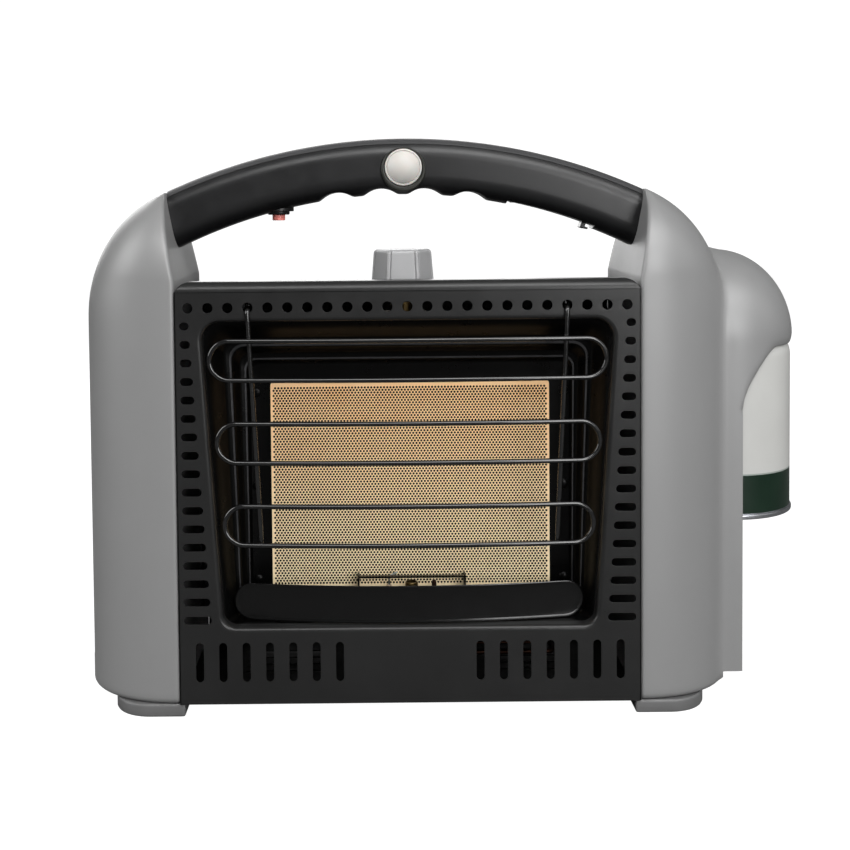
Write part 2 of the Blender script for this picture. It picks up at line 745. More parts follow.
def tip(z):
    """The panel's share of its full depth at a height: 1 beside the frame, 0 at its tip."""
    return math.sqrt(max(0.0, 1 - (max(0.0, z - FRAME_TOP) / (TIP_Z - FRAME_TOP)) ** 2))


def back_y(z):
    """The depth of the leaning back at a height."""
    return BODY_D - BACK_LEAN * (z - FOOT_H) / (FRAME_TOP - FOOT_H)


def panel_outline(z, inset):
    """A side panel's outline at one height, drawn in by inset. Every height has the same count of points."""
    edge = EDGE_R - math.sqrt(EDGE_R ** 2 - max(0.0, FOOT_H + EDGE_R - z) ** 2)
    xi, xo = face_x(z) + inset, outer_x(z) - inset - edge
    yf = HANDLE_SET * (1 - tip(z)) + inset + edge
    yr = HANDLE_SET + (back_y(z) - HANDLE_SET) * tip(z) - inset - edge
    share = (HANDLE_SET - yf) / HANDLE_SET
    front_round, rear_round, recess_edge = 50.0, 40.0, 2.5
    c = min(CORNER_R, (xo - xi) / 3)
    bf = (front_round - inset) * share
    br = (yr - HANDLE_SET) * 0.5
    ar = min(rear_round, (xo - xi - c) * 0.9)

    def arc(cx, cy, rx, ry, a, b, steps):
        t = np.radians(np.linspace(a, b, steps + 1))[:-1]
        return np.stack([cx + rx * np.cos(t), cy + ry * np.sin(t)], 1)

    def line(a, b, steps):
        t = np.linspace(0, 1, steps + 1)[:-1, None]
        return np.array(a) * (1 - t) + np.array(b) * t

    pts = np.concatenate([
        arc(xi + c, yf + c, c, c, 180, 270, 6),
        arc(xi + c, yf + bf, xo - xi - c, bf, 270, 360, 44),
        line((xo, yf + bf), (xo, yr - br), 26),
        arc(xo - ar, yr - br, ar, br, 0, 90, 22),
        line((xo - ar, yr), (xi + c, yr), 8),
        arc(xi + c, yr - c, c, c, 90, 180, 6),
        line((xi, yr - c), (xi, yf + c), 14)])
    rise, fall = (z - RECESS_LOW) / recess_edge, (z - RECESS_HIGH + recess_edge) / recess_edge
    sunk = RECESS_T * float(ease(rise) * (1 - ease(fall)))
    limit = SIDE_X - inset - sunk
    near = np.clip(1 - np.abs(pts[:, 0] - limit), 0, 1)
    pts[:, 0] = np.minimum(pts[:, 0], limit) - near ** 2 / 4 * (sunk > 0.05)
    return np.concatenate([pts, np.full((len(pts), 1), z)], 1)


def narrow_z(width):
    """The height at which the panel has narrowed to a width."""
    low, high = FRAME_TOP, MEET_Z
    for _ in range(40):
        mid = (low + high) / 2
        low, high = (mid, high) if outer_x(mid) - face_x(mid) > width else (low, mid)
    return low


def panel_levels(top):
    """Heights up the panel, closer together where it is rounded."""
    foot = [FOOT_H + EDGE_R * (1 - math.cos(math.radians(a))) for a in (0, 18, 36, 54, 72, 90)]
    steady = list(np.arange(BAY_LOW + 0.05, FRAME_TOP - 2, 3.2))
    if foot[-1] < BAY_LOW:
        foot.append(BAY_LOW - 0.05)
    upper = [FRAME_TOP + (top - FRAME_TOP) * math.sin(math.pi / 2 * i / 46) for i in range(47)]
    return foot + steady + upper


def hood_r(z):
    """The hood's outer radius at a height."""
    t = np.clip((np.asarray(z, float) - DOME_Z) / DOME_H, 0, 1)
    return HOOD_R * np.sqrt(1 - t * t)


def hood_field(p):
    """Rough distance to the hood's outside, and its direction."""
    dx, dy, dz = p[0] - HOOD_X, p[1] - CAN_Y, max(0.0, p[2] - DOME_Z)
    rho = max(math.hypot(dx, dy), 1e-6)
    f = math.sqrt((rho / HOOD_R) ** 2 + (dz / DOME_H) ** 2)
    g = np.array([dx / HOOD_R ** 2, dy / HOOD_R ** 2, dz / DOME_H ** 2]) / max(f, 1e-6)
    size = np.linalg.norm(g)
    return (f - 1) / size, g / size


# The blend's width, and how deep in the other form a point's move fades and ends
BLEND, SINKING, BURIED = 15.0, 3.0, 7.0
# Only what lies beyond this x of the right panel can meet the hood
HOOD_SIDE = 158.0


def blend_at(p):
    """How far the hood and the panel melt into each other: softly over the top, more closely in front."""
    return BLEND - 10.0 * float(ease((66 - p[1]) / 26))


# A middle line of the right panel, to tell its outside from its inside
PANEL_CORE = Vector((165.0, 60.0, 0.0))


class PanelField:
    """Distance to the plain side panel."""

    def __init__(self, rows):
        points, faces = grid(rows, closed=True, caps=True)
        self.tree = BVHTree.FromPolygons([tuple(p) for p in points], faces)

    def at(self, p):
        """The distance from the panel's skin, below zero inside it, and the direction away from it."""
        spot, normal, _, _ = self.tree.find_nearest(Vector(p))
        away = Vector(p) - spot
        if normal.dot(Vector((spot.x, spot.y, 0)) - PANEL_CORE) <= 0:
            normal = -normal
        far = away.length
        side = 1.0 if away.dot(normal) >= 0 else -1.0
        direction = away / far * side if far > 0.05 else normal
        return far * side, np.array(direction)


def soft_union(p, panel, reach, own):
    """Moves a point of one skin out to the soft join of the two. own is the skin it belongs to."""
    p = np.array(p, float)
    a, ga = panel.at(p)
    b, gb = hood_field(p)
    other = b if own == "panel" else a
    if abs(other) >= reach or reach < 0.2:
        return p
    if other < -BURIED:
        return p
    start = p.copy()
    sink = -0.04 * min(other, 0.0) ** 2
    for _ in range(6):
        h = max(reach - abs(a - b), 0.0) / reach
        f = min(a, b) - h * h * reach / 4 - sink
        w = h / 2
        g = ga * (1 - w) + gb * w if a < b else gb * (1 - w) + ga * w
        p = p - f * g / max(float(g @ g), 0.2)
        a, ga = panel.at(p)
        b, gb = hood_field(p)
    if other < -SINKING:
        keep = float(ease((-other - SINKING) / (BURIED - SINKING)))
        p = p * (1 - keep) + start * keep
    return p


def wrap_bay(rows, depth):
    """Lines the hood's bore with the part of the panel's skin inside it. Returns which points it moved."""
    moved = np.zeros(rows.shape[:2], bool)
    for k, line in enumerate(rows):
        z = line[0, 2]
        if z < BAY_LOW:
            continue
        r = float(hood_r(z)) - depth
        if r < 2:
            continue
        d = np.hypot(line[:, 0] - HOOD_X, line[:, 1] - CAN_Y)
        inside = (d < r) & (line[:, 0] > HOOD_SIDE)
        if inside.sum() < 2:
            continue
        idx = np.where(inside)[0]
        y1, y2 = line[idx[0], 1], line[idx[-1], 1]
        x1, x2 = line[idx[0], 0], line[idx[-1], 0]
        t1 = math.atan2(y1 - CAN_Y, x1 - HOOD_X) % (2 * math.pi)
        t2 = math.atan2(y2 - CAN_Y, x2 - HOOD_X) % (2 * math.pi)
        for n, i in enumerate(idx):
            t = t1 + (t2 - t1) * n / (len(idx) - 1)
            line[i, 0] = HOOD_X + r * math.cos(t)
            line[i, 1] = CAN_Y + r * math.sin(t)
        moved[k, idx] = True
    return moved


def panel_skins(hooded):
    """A panel's outer and inner rows of points, which points line the bore, and its distance field."""
    levels = panel_levels(narrow_z(1.0))
    squeeze = (narrow_z(2 * WALL + 1.0) - FRAME_TOP) / (levels[-1] - FRAME_TOP)
    inner_levels = [z if z < FRAME_TOP else FRAME_TOP + (z - FRAME_TOP) * squeeze for z in levels]
    outer = np.array([panel_outline(z, 0.0) for z in levels])
    inner = np.array([panel_outline(z, WALL) for z in inner_levels])
    if not hooded:
        return outer, inner, np.zeros(outer.shape[:2], bool), None
    field = PanelField(outer.copy())
    for k, z in enumerate(levels):
        reach = BLEND * float(ease((z - FOOT_H - 1) / (BAY_LOW - FOOT_H)))
        for i, p in enumerate(outer[k].copy()):
            if p[0] > HOOD_SIDE + 2:
                outer[k, i] = soft_union(p, field, min(reach, blend_at(p)), "panel")
    gone = wrap_bay(outer, 1.0)
    wrap_bay(inner, 0.6)
    return outer, inner, gone, field


def side_panel(name, side, skins):
    """The panel's two skins as one wall, closed at the foot and top and along the ledge under the bay."""
    outer, inner, gone, _ = skins
    m, n = outer.shape[:2]
    base = m * n
    faces = []
    for k in range(m - 1):
        for i in range(n):
            j = (i + 1) % n
            a, b, c, d = k * n + i, k * n + j, (k + 1) * n + j, (k + 1) * n + i
            starts = (gone[k + 1, i] or gone[k + 1, j]) and not (gone[k, i] or gone[k, j])
            if starts and outer[k, 0, 2] < BAY_LOW + 1:
                faces.append((a, b, base + b, base + a))
            else:
                faces += [(a, b, c, d), (base + b, base + a, base + d, base + c)]
    faces += [((i + 1) % n, i, base + i, base + (i + 1) % n) for i in range(n)]
    top = (m - 1) * n
    faces += [tuple(start + i for i in range(n)) for start in (top, base + top)]
    points = np.concatenate([outer.reshape(-1, 3), inner.reshape(-1, 3)]) * np.array([side, 1, 1])
    return piece(name, (points, faces), "panel", [name.replace("skin_", "")], sharp=50.0,
                 weighted=False)


def hood(field):
    """The domed hood with its open bay, softly joined to the side panel."""
    low_steps, up_steps, wall_share = 44, 46, 0.4
    curl_h, curl, curl_fade = 9.0, 2.4, 12.0
    edge_y = CAN_Y - HOOD_R + 0.3
    corner_y = edge_y + ARCH_ROUND
    arch_low = ARCH_TOP - ARCH_RISE
    phi0, phi1 = (math.degrees(math.asin((CAN_Y - y) / HOOD_R)) for y in (edge_y, corner_y))
    spread = [np.linspace(0, phi1, 17), np.linspace(phi1, phi0, 23), np.linspace(phi0, 180, 50)]
    front = sorted(set(np.round(np.concatenate(spread), 6)))
    phis = [-p for p in front[-2:0:-1]] + front
    n = len(phis)

    def edge_z(phi):
        if phi >= phi0 - 1e-6:
            return arch_low
        if phi <= phi1:
            return ARCH_TOP
        y = CAN_Y - HOOD_R * math.sin(math.radians(phi))
        return arch_low + ARCH_RISE * math.sqrt(max(0.0, 1 - ((corner_y - y) / ARCH_ROUND) ** 2))

    def column(phi, radius, height):
        """Heights and radii up the side and over the dome, with the arch's edge curled in."""
        foot = edge_z(abs(phi))
        line = [(z, radius) for z in np.linspace(BAY_LOW, arch_low, low_steps + 1)[:-1]]
        for t in (s / up_steps for s in range(up_steps + 1)):
            if t < wall_share:
                z, r = foot + (DOME_Z - foot) * (t / wall_share), radius
            else:
                a = (t - wall_share) / (1 - wall_share) * math.pi / 2
                z, r = DOME_Z + height * math.sin(a), radius * max(math.cos(a), 0.012)
            if abs(phi) < phi0 + 4 and z - foot < curl_h:
                fade = float(ease((phi0 + 4 - abs(phi)) / curl_fade))
                r -= fade * curl * (1 - math.sqrt(1 - (1 - (z - foot) / curl_h) ** 2))
            line.append((z, r))
        lean = math.radians(phi)
        return [(HOOD_X + r * math.cos(lean), CAN_Y - r * math.sin(lean), z) for z, r in line]

    outer = np.array([column(p, HOOD_R, DOME_H) for p in phis])
    inner = np.array([column(p, HOOD_R - WALL, DOME_H - WALL) for p in phis])
    m = outer.shape[1]
    meets_x, meets_phi = HOOD_X + 30, 50
    for i, phi in enumerate(phis):
        for j, p in enumerate(outer[i].copy()):
            if p[0] < meets_x and abs(phi) > meets_phi:
                outer[i, j] = soft_union(p, field, blend_at(p), "hood")
    base = n * m
    there = [abs(p) >= phi0 - 1e-6 for p in phis]
    faces = []
    for i in range(n):
        k = (i + 1) % n
        whole = there[i] and there[k]
        for j in range(0 if whole else low_steps, m - 1):
            q = (i * m + j, k * m + j, k * m + j + 1, i * m + j + 1)
            faces += [q, tuple(base + v for v in q[::-1])]
        a, b = (i * m, k * m) if whole else (i * m + low_steps, k * m + low_steps)
        faces.append((a, base + a, base + b, b))
    for end in (phi0, -phi0):
        i = min(range(n), key=lambda k: abs(phis[k] - end))
        faces += [(a, a + 1, base + a + 1, base + a) for a in range(i * m, i * m + low_steps)]
    faces.append(tuple(i * m + m - 1 for i in range(n)))
    faces.append(tuple(base + i * m + m - 1 for i in range(n - 1, -1, -1)))
    points = np.concatenate([outer.reshape(-1, 3), inner.reshape(-1, 3)])
    return piece("cartridge_hood_skin", (points, faces), "panel", ["cartridge_hood"],
                 sharp=50.0, weighted=False, bevel=(0.6, 60))


OPEN_TOP_W, OPEN_BOTTOM_W, OPEN_H, SILL_Z = 247.4, 224.0, 184.5, 54.5
OPEN_TOP = SILL_Z + OPEN_H
OPEN_TOP_R, OPEN_BOTTOM_R = 11.0, 8.0


def opening_line(grow):
    """The burner opening's outline, larger by grow."""
    t, b = OPEN_TOP_W / 2 + grow, OPEN_BOTTOM_W / 2 + grow
    low, high = SILL_Z - grow, OPEN_TOP + grow
    return fillet([(-b, low), (b, low), (t, high), (-t, high)],
                  [OPEN_BOTTOM_R + grow] * 2 + [OPEN_TOP_R + grow] * 2, 14)


def opening_x(z):
    """Half the opening's width at a height."""
    return OPEN_BOTTOM_W / 2 + (OPEN_TOP_W - OPEN_BOTTOM_W) / 2 * (z - SILL_Z) / OPEN_H


ROLL_R, LIP_R, LIP_D = 6.0, 2.6, 8.0
HOLE_PITCH, HOLE_D, HOLE_COUNT, HOLE_DROP = 11.9, 6.2, 23, 15.5
SLOT_COUNT, SLOT_PITCH, SLOT_H, SLOT_GAP, SLOT_EDGE = 17, 11.1, 4.7, 6.8, 3.0
VENT_FIRST, VENT_PITCH, VENT_W, VENT_H, VENT_COUNT = 42.3, 14.05, 4.8, 23.9, 7
VENT_Z = FOOT_H + (SILL_Z - FOOT_H) * 0.55


def front_holes():
    """The round holes along the top, the slots beside the opening and the upright ones below it."""
    holes = [circle((i - (HOLE_COUNT - 1) / 2) * HOLE_PITCH, FRAME_TOP - HOLE_DROP, HOLE_D / 2)
             for i in range(HOLE_COUNT)]
    for i in range(SLOT_COUNT):
        z = SILL_Z + SLOT_H + i * SLOT_PITCH
        low, high = opening_x(z) + SLOT_GAP, FRAME_X - SLOT_EDGE
        holes += [slot_loop(s * (low + high) / 2, z, high - low, SLOT_H) for s in (-1, 1)]
    for i in range(VENT_COUNT):
        holes += [slot_loop(s * (VENT_FIRST + i * VENT_PITCH), VENT_Z, VENT_W, VENT_H) for s in (-1, 1)]
    return holes


def rolled_lip():
    """The opening's edge, rolled back and turned in."""
    rows = [at_y(opening_line(LIP_R + 0.02), 0.0)]
    for t in np.radians(np.linspace(90, 0, 9))[1:]:
        rows.append(at_y(opening_line(LIP_R * (1 - math.cos(t))), LIP_R * (1 - math.sin(t))))
    for grow, y in ((0.0, LIP_D), (SHEET, LIP_D), (SHEET, LIP_R + 0.4), (LIP_R + 0.3, SHEET)):
        rows.append(at_y(opening_line(grow), y))
    return grid(rows[::-1], closed=True)


def rolled_top(top):
    """The upper edge, rolled back over its whole width to the top plate and rounded down at both ends."""
    corner, thin = 9.0, ROLL_R - SHEET
    ends = np.linspace(FRAME_X - corner, FRAME_X, 13)
    spans = np.concatenate([-ends[::-1], [-100, -50, 0, 50, 100], ends])
    line = [(0.0, top - 0.4), (0.0, top)]
    line += [(ROLL_R * (1 - math.cos(t)), top + ROLL_R * math.sin(t))
             for t in np.radians(np.linspace(9, 90, 10))]
    line += [(FLANGE_D - 1.2, FRAME_TOP), (FLANGE_D - 0.35, FRAME_TOP - 0.35), (FLANGE_D, FRAME_TOP - 1.2),
             (FLANGE_D, PLATE_Z), (FLANGE_D - SHEET, PLATE_Z), (FLANGE_D - SHEET, FRAME_TOP - SHEET - 0.6),
             (ROLL_R, FRAME_TOP - SHEET)]
    line += [(ROLL_R - thin * math.sin(t), top + thin * math.cos(t))
             for t in np.radians(np.linspace(15, 90, 6))]
    line.append((SHEET, top - 0.4))
    rows = []
    for x in spans:
        over = max(0.0, abs(x) - (FRAME_X - corner))
        cap = max(FRAME_TOP - corner + math.sqrt(max(0.0, corner ** 2 - over ** 2)), top - 0.4)
        rows.append([(x, y, min(z, cap)) for y, z in line])
    return grid(rows, closed=True, caps=True)


def front_frame():
    """The pressed front: a sheet with its holes, the opening's rolled lip, the rolled top and side rails."""
    x, top = FRAME_X - 0.15, FRAME_TOP - ROLL_R
    outline = [(-x, FOOT_H), (x, FOOT_H), (x, top), (-x, top)]
    face = cut_sheet([outline, opening_line(LIP_R)] + front_holes(), SHEET, edge=0.12)
    shape = Shape().add(face, turn=FLAT_XZ)
    shape.add(rolled_lip())
    shape.add(rolled_top(top))
    for place in (-FRAME_X, FRAME_X - SHEET):
        rail = box_line(0.0, FOOT_H, FLANGE_D, top, [0, 1.5, 1.5, 0], 4)
        shape.add(cut_sheet([rail], SHEET, edge=0.1), turn=FLAT_YZ, move=(place, 0, 0))
    return piece("front_frame_sheet", shape, "frame", ["front_frame"], sharp=38.0)


def foot_piece(side):
    """A moulded foot with rounded lower and upper edges."""
    x0, x1 = FRAME_X - 3, SIDE_X - 19
    y0, y1 = 1.0, BODY_D - 2
    rim = 1.8
    levels = [(0.0, 1.2), (0.35, 0.45), (1.2, 0.0), (FOOT_H * 0.5, 0.0)]
    levels += [(FOOT_H - rim + rim * math.sin(t), rim * (1 - math.cos(t)) * 0.6)
               for t in np.radians((0, 30, 60, 90))]
    rows = []
    for z, d in levels:
        line = box_line(x0 + d, y0 + d, x1 - d, y1 - d, [1.2, 24 - d, 16 - d, 1.2], 12)
        rows.append([(side * u, v, z) for u, v in line])
    name = "right_foot" if side > 0 else "left_foot"
    return piece(name + "_moulding", grid(rows, closed=True, caps=True), "foot", [name],
                 sharp=40.0)


# Handle, lamp, switch and battery cover

HANDLE_ROUND, STRIP_T, SHELL_T = 12.0, 4.0, 3.0
STRIP_R = HANDLE_R - STRIP_T
HALF_D = HANDLE_D / 2
GROOVES, GROOVE_PITCH, GROOVE_DEPTH, GROOVE_R = 4, 28.2, 4.0, 15.0
GRIP_HALF, GRIP_T = 66.0, 7.0
DOOR_START, DOOR_LENGTH = 67.0, 52.0
DOOR_FROM = math.asin(DOOR_START / HANDLE_IN)
DOOR_TO = math.asin((DOOR_START + DOOR_LENGTH) / HANDLE_IN)
DOOR_SINK, DOOR_T, DOOR_HALF = 1.8, 2.4, 10.8
DOOR_R = HANDLE_IN + DOOR_SINK
LENS_LOW, LENS_HIGH = mm_box("lamp_lens")
LENS_Z, LENS_R = (LENS_LOW[2] + LENS_HIGH[2]) / 2, (LENS_HIGH[2] - LENS_LOW[2]) / 2
COLLAR_LOW, COLLAR_HIGH = mm_box("lamp_collar")
COLLAR_Z, COLLAR_R = (COLLAR_LOW[2] + COLLAR_HIGH[2]) / 2, (COLLAR_HIGH[2] - COLLAR_LOW[2]) / 2
SWITCH_LOW, SWITCH_HIGH = mm_box("switch_housing")
SWITCH_X = (SWITCH_LOW[0] + SWITCH_HIGH[0]) / 2
HANDLE_END = 0.53


def on_handle(angle, r, y=0.0):
    """A point of the handle from its angle off the top, its radius and its depth off the handle's middle."""
    return (HANDLE_X + r * math.sin(angle), HANDLE_SET + y, ARC_Z + r * math.cos(angle))


def cheek_angle(r, side):
    """The angle at which a radius of the handle meets the face of a side panel."""
    low, high = 0.2, 0.6
    for _ in range(40):
        mid = (low + high) / 2
        x, _, z = on_handle(side * mid, r)
        low, high = (mid, high) if side * x < face_x(z) else (low, mid)
    return low


def groove_radius(angle):
    """How far up the finger grooves cut the underside of the handle."""
    reach = HANDLE_IN + GROOVE_DEPTH - GROOVE_R
    best = 0.0
    for i in range(GROOVES):
        turn = angle - math.asin((i - (GROOVES - 1) / 2) * GROOVE_PITCH / HANDLE_IN)
        side = reach * math.sin(turn)
        if abs(side) < GROOVE_R:
            best = max(best, reach * math.cos(turn) + math.sqrt(GROOVE_R ** 2 - side * side))
    return best


def handle_rows(ring_at, angles):
    """Rings of (radius, depth) points along the handle, ended against the side panels' faces."""
    rows = []
    for angle in angles:
        side = 1 if angle >= 0 else -1
        ring = ring_at(angle)
        rows.append([on_handle(side * min(abs(angle), cheek_angle(r, side)), r, y) for r, y in ring])
    return np.array(rows)


def shell_line(inset, low):
    """The handle shell's section from the front parting, under the handle, to the back parting."""
    r = HANDLE_ROUND - inset
    side, foot, head = HALF_D - inset, HANDLE_IN + inset, HANDLE_R - inset
    rise = math.degrees(math.asin((STRIP_R - head + r) / r))
    split = math.degrees(math.asin((DOOR_HALF - side + r) / r)) if DOOR_HALF > side - r else 45.0
    half = corner_arc(side - r, head - r, r, rise, 0, 6)
    half += [(side, foot + r + (head - foot - 2 * r) * t) for t in (0.75, 0.5, 0.25)]
    half += corner_arc(side - r, foot + r, r, 0, -90 + split, 9)
    half += corner_arc(side - r, foot + r, r, -90 + split, -90, 5)[1:]
    half += [((side - r) * t, foot) for t in (0.6, 0.2)]
    line = [(v, -u) for u, v in half] + [(v, u) for u, v in half[::-1]]
    return [(max(v, low) if v < HANDLE_IN + HANDLE_ROUND else v, u) for v, u in line]


def handle_shell():
    """The underside moulding: finger grooves, the sunk battery bay, the lamp's and the switch's seats."""
    sink_from = DOOR_FROM - math.radians(0.4)
    step, fine = 1e-4, 0.19
    fixed = [sink_from - step, sink_from + step, DOOR_FROM, DOOR_TO - step, DOOR_TO + step]
    marks = np.concatenate([np.linspace(-HANDLE_END, -fine, 40), np.linspace(-fine, fine, 150),
                            np.linspace(fine, HANDLE_END, 40)])
    angles = sorted([a for a in marks if all(abs(a - f) > 2e-3 for f in fixed)] + fixed)
    grip = math.asin(GRIP_HALF / HANDLE_IN)

    def outside(angle):
        ring = shell_line(0.0, DOOR_R if sink_from < angle < DOOR_TO else 0.0)
        depth = groove_radius(angle)
        if depth < HANDLE_IN - 3:
            return ring
        return [(float(soft_max(v, depth, 1.6)) if v < HANDLE_IN + HANDLE_ROUND else v, u) for v, u in ring]

    def inside(angle):
        return shell_line(SHELL_T, HANDLE_IN + GRIP_T if abs(angle) < grip else 0.0)

    outer, inner = handle_rows(outside, angles), handle_rows(inside, angles)
    depths = np.abs(outer[0, :, 1] - HANDLE_SET)
    under = outer[len(angles) // 2, :-1, 2] < ARC_Z + HANDLE_IN + HANDLE_ROUND
    opening = (np.maximum(depths[:-1], depths[1:]) <= DOOR_HALF + 0.01) & under
    there = np.ones((len(angles) - 1, outer.shape[1] - 1), bool)
    for i, angle in enumerate(angles[:-1]):
        if DOOR_FROM - 1e-9 <= angle < DOOR_TO - 2 * step:
            there[i, opening] = False
    seat_r, hole_r = COLLAR_R + 0.1, 6.6
    seat_at, hole_at = (HANDLE_X, COLLAR_LOW[1] - 1, COLLAR_Z), (SWITCH_X, HANDLE_SET, SWITCH_LOW[2] - 1)
    seat = turned([(0, 0), (seat_r, 0), (seat_r, 9.0), (0, 9.0)], seat_at, "y")
    hole = turned([(0, 0), (hole_r, 0), (hole_r, 20), (0, 20)], hole_at, "z", 48)
    return piece("handle_moulding", skin(outer, inner, there), "handle", ["handle_shell"],
                 sharp=40.0, cut=(seat, hole), bevel=(0.3, 42))


def handle_strip():
    """The cover strip along the top, with a fine parting line below it."""
    r, side = HANDLE_ROUND, HALF_D
    rise = math.degrees(math.asin((STRIP_R - HANDLE_R + r) / r))
    half = corner_arc(side - r, HANDLE_R - r, r, 90, rise + 2.2, 12)
    half.append((half[-1][0] - 0.35, STRIP_R + 0.02))
    crown = [(HANDLE_R, t) for t in (2.5, 0.0, -2.5)]
    ring = [(v, u) for u, v in half[::-1]] + crown + [(v, -u) for u, v in half]
    rows = handle_rows(lambda angle: ring, np.linspace(-HANDLE_END, HANDLE_END, 180))
    return piece("handle_strip", grid(rows, closed=True, caps=True), "strip",
                 ["handle_top_cover"], sharp=40.0)


def lamp_collar():
    """The ring round the lens, which sits a little higher in it."""
    front, back = COLLAR_LOW[1], COLLAR_HIGH[1]
    outer = [(COLLAR_R - off, y)
             for off, y in ((0.0, back), (0.0, front + 0.9), (0.25, front + 0.3), (0.9, front))]
    inner = [(LENS_R + off, y)
             for off, y in ((0.9, front), (0.3, front + 0.25), (0.08, front + 0.9), (0.08, back))]
    rows = [at_y(circle(HANDLE_X, COLLAR_Z, r, 96), y) for r, y in outer]
    rows += [at_y(circle(HANDLE_X, LENS_Z, r, 96), y) for r, y in inner]
    return piece("lamp_collar_ring", grid(rows, closed=True, looped=True), "dark",
                 ["lamp_collar"], sharp=50.0)


def lamp_lens():
    """The domed lens with a groove round its rim."""
    wall, rim = 1.5, 1.1
    front, top, seat = COLLAR_LOW[1], LENS_LOW[1], LENS_HIGH[1]
    dome = front - top
    ball = (LENS_R ** 2 + dome ** 2) / (2 * dome)
    step = LENS_R - rim
    profile = [(LENS_R, seat), (LENS_R, front - 0.1), (LENS_R - 0.2, front - 0.5), (step + 0.3, front - 0.78),
               (step + 0.1, front - 0.75), (step - 0.15, front - 0.2)]
    profile += [(t, top + ball - math.sqrt(ball ** 2 - (t * 1.06) ** 2) + 0.15)
                for t in np.linspace(step - 0.45, 0.0, 18)]
    profile += [(t, top + wall + ball - math.sqrt(ball ** 2 - t * t))
                for t in np.linspace(0.0, LENS_R - wall - 1, 10)]
    profile += [(LENS_R - wall, front + 1.0), (LENS_R - wall, seat)]
    return piece("lamp_lens_dome", turned(profile, (HANDLE_X, 0, LENS_Z), "y", 96, ring=True), "lens",
                 ["lamp_lens"], sharp=30.0)


def lamp_board():
    """The board behind the lens with its three diodes."""
    back, ring_r, rim = COLLAR_HIGH[1], 5.0, LENS_R + 0.9
    board = back + 0.05
    disc = [(0, board), (rim - 0.3, board), (rim, board + 0.3), (rim, board + 1.5), (0, board + 1.5)]
    shape = Shape().add(turned(disc, (HANDLE_X, 0, LENS_Z), "y"))
    diode = [(0, back - 3.0), (0.8, back - 2.85), (1.3, back - 2.3), (1.5, back - 1.6), (1.5, back - 0.5),
             (1.75, back - 0.45), (1.75, back), (0, back)]
    for a in (math.pi / 2 + 2 * math.pi * k / 3 for k in range(3)):
        spot = (HANDLE_X + ring_r * math.cos(a), 0, LENS_Z + ring_r * math.sin(a))
        shape.add(turned(diode, spot, "y", 20), tag=1)
    return piece("lamp_board_leds", shape, ["board", "lens"], ["lamp_board"], sharp=45.0)


PUSH_R = 8.1 / 2


def switch_collar():
    """The stepped collar under the handle."""
    low, high, bore = SWITCH_LOW[2], SWITCH_HIGH[2], PUSH_R + 0.08
    profile = [(bore, low + 0.25), (bore + 0.25, low), (6.2, low), (6.7, low + 0.25), (6.95, low + 0.8),
               (7.0, low + 2.1), (9.2, low + 2.1), (9.5, low + 2.3), (9.6, low + 2.7), (9.6, low + 5.2),
               (6.5, low + 5.2), (6.5, high), (5.3, high), (5.3, low + 1.6), (bore, low + 1.6)]
    return piece("switch_collar", turned(profile, (SWITCH_X, HANDLE_SET, 0), ring=True), "handle",
                 ["switch_housing"], sharp=40.0)


def switch_button():
    """The push button with the shoulder that holds it in the collar."""
    r, foot, shelf = PUSH_R, mm_box("switch_button")[0][2], SWITCH_LOW[2] + 1.6
    profile = [(0, foot + 0.12), (r - 1.4, foot), (r - 0.5, foot), (r - 0.12, foot + 0.12), (r, foot + 0.5),
               (r, shelf), (5.2, shelf), (5.2, shelf + 1.5), (0, shelf + 1.5)]
    return piece("switch_push_button", turned(profile, (SWITCH_X, HANDLE_SET, 0), "z", 48), "red",
                 ["switch_button"], body=BUTTON, sharp=40.0)


PIVOT_R = DOOR_R + DOOR_T / 2
PIVOT_ANGLE = DOOR_FROM + math.asin(1.9 / PIVOT_R)


def latch_block(from_angle, to_angle, low, high, wide):
    """One block of the latch between two angles and two radii of the handle, softened at both ends."""
    rows = []
    for r, d in ((low, 0.35), (low + 0.15, 0.1), (low + 0.4, 0.0), (high - 0.3, 0.0), (high, 0.1)):
        a, b, y = from_angle + d / DOOR_R, to_angle - d / DOOR_R, wide - d
        rows.append([on_handle(a, r, -y), on_handle(b, r, -y), on_handle(b, r, y), on_handle(a, r, y)])
    return grid(rows, closed=True, caps=True)


def mirrored_pin(half):
    """A turned profile from the (radius, height) points of its lower half."""
    return half + [(r, -h) for r, h in half[::-1]]


def battery_cover():
    """The cover plate with its hinge barrel at one end and its finger latch at the other."""
    end, half, tab, wide = DOOR_TO - math.asin(0.3 / DOOR_R), DOOR_HALF - 0.3, 4.0, 5.0
    ring = box_line(DOOR_R, -half, DOOR_R + DOOR_T, half, 0.45, 3)
    rows = [[on_handle(a, r, y) for r, y in ring] for a in np.linspace(PIVOT_ANGLE, end, 30)]
    shape = Shape().add(grid(rows, closed=True, caps=True))
    x, y, z = on_handle(PIVOT_ANGLE, PIVOT_R)
    barrel, pin = 1.6, 0.8
    for profile, steps in (
            ([(0, 0.5 - half), (barrel - 0.3, 0.5 - half), (barrel, 0.8 - half)], 24),
            ([(0, -half - 1.8), (pin - 0.2, -half - 1.8), (pin, -half - 1.6)], 16)):
        shape.add(turned(mirrored_pin(profile), (x, y, z), "y", steps))
    edge = DOOR_R - tab
    tongue, nose = np.radians((1.3, 0.8)), np.radians((1.1, 0.4))
    shape.add(latch_block(*(DOOR_TO - tongue), edge, DOOR_R + 0.5, wide))
    shape.add(latch_block(*(DOOR_TO - nose), edge + 0.4, edge + 1.6, wide - 0.5))
    return piece("battery_door_plate", shape, "handle", ["battery_cover"], body=DOOR,
                 sharp=35.0)


# Knob

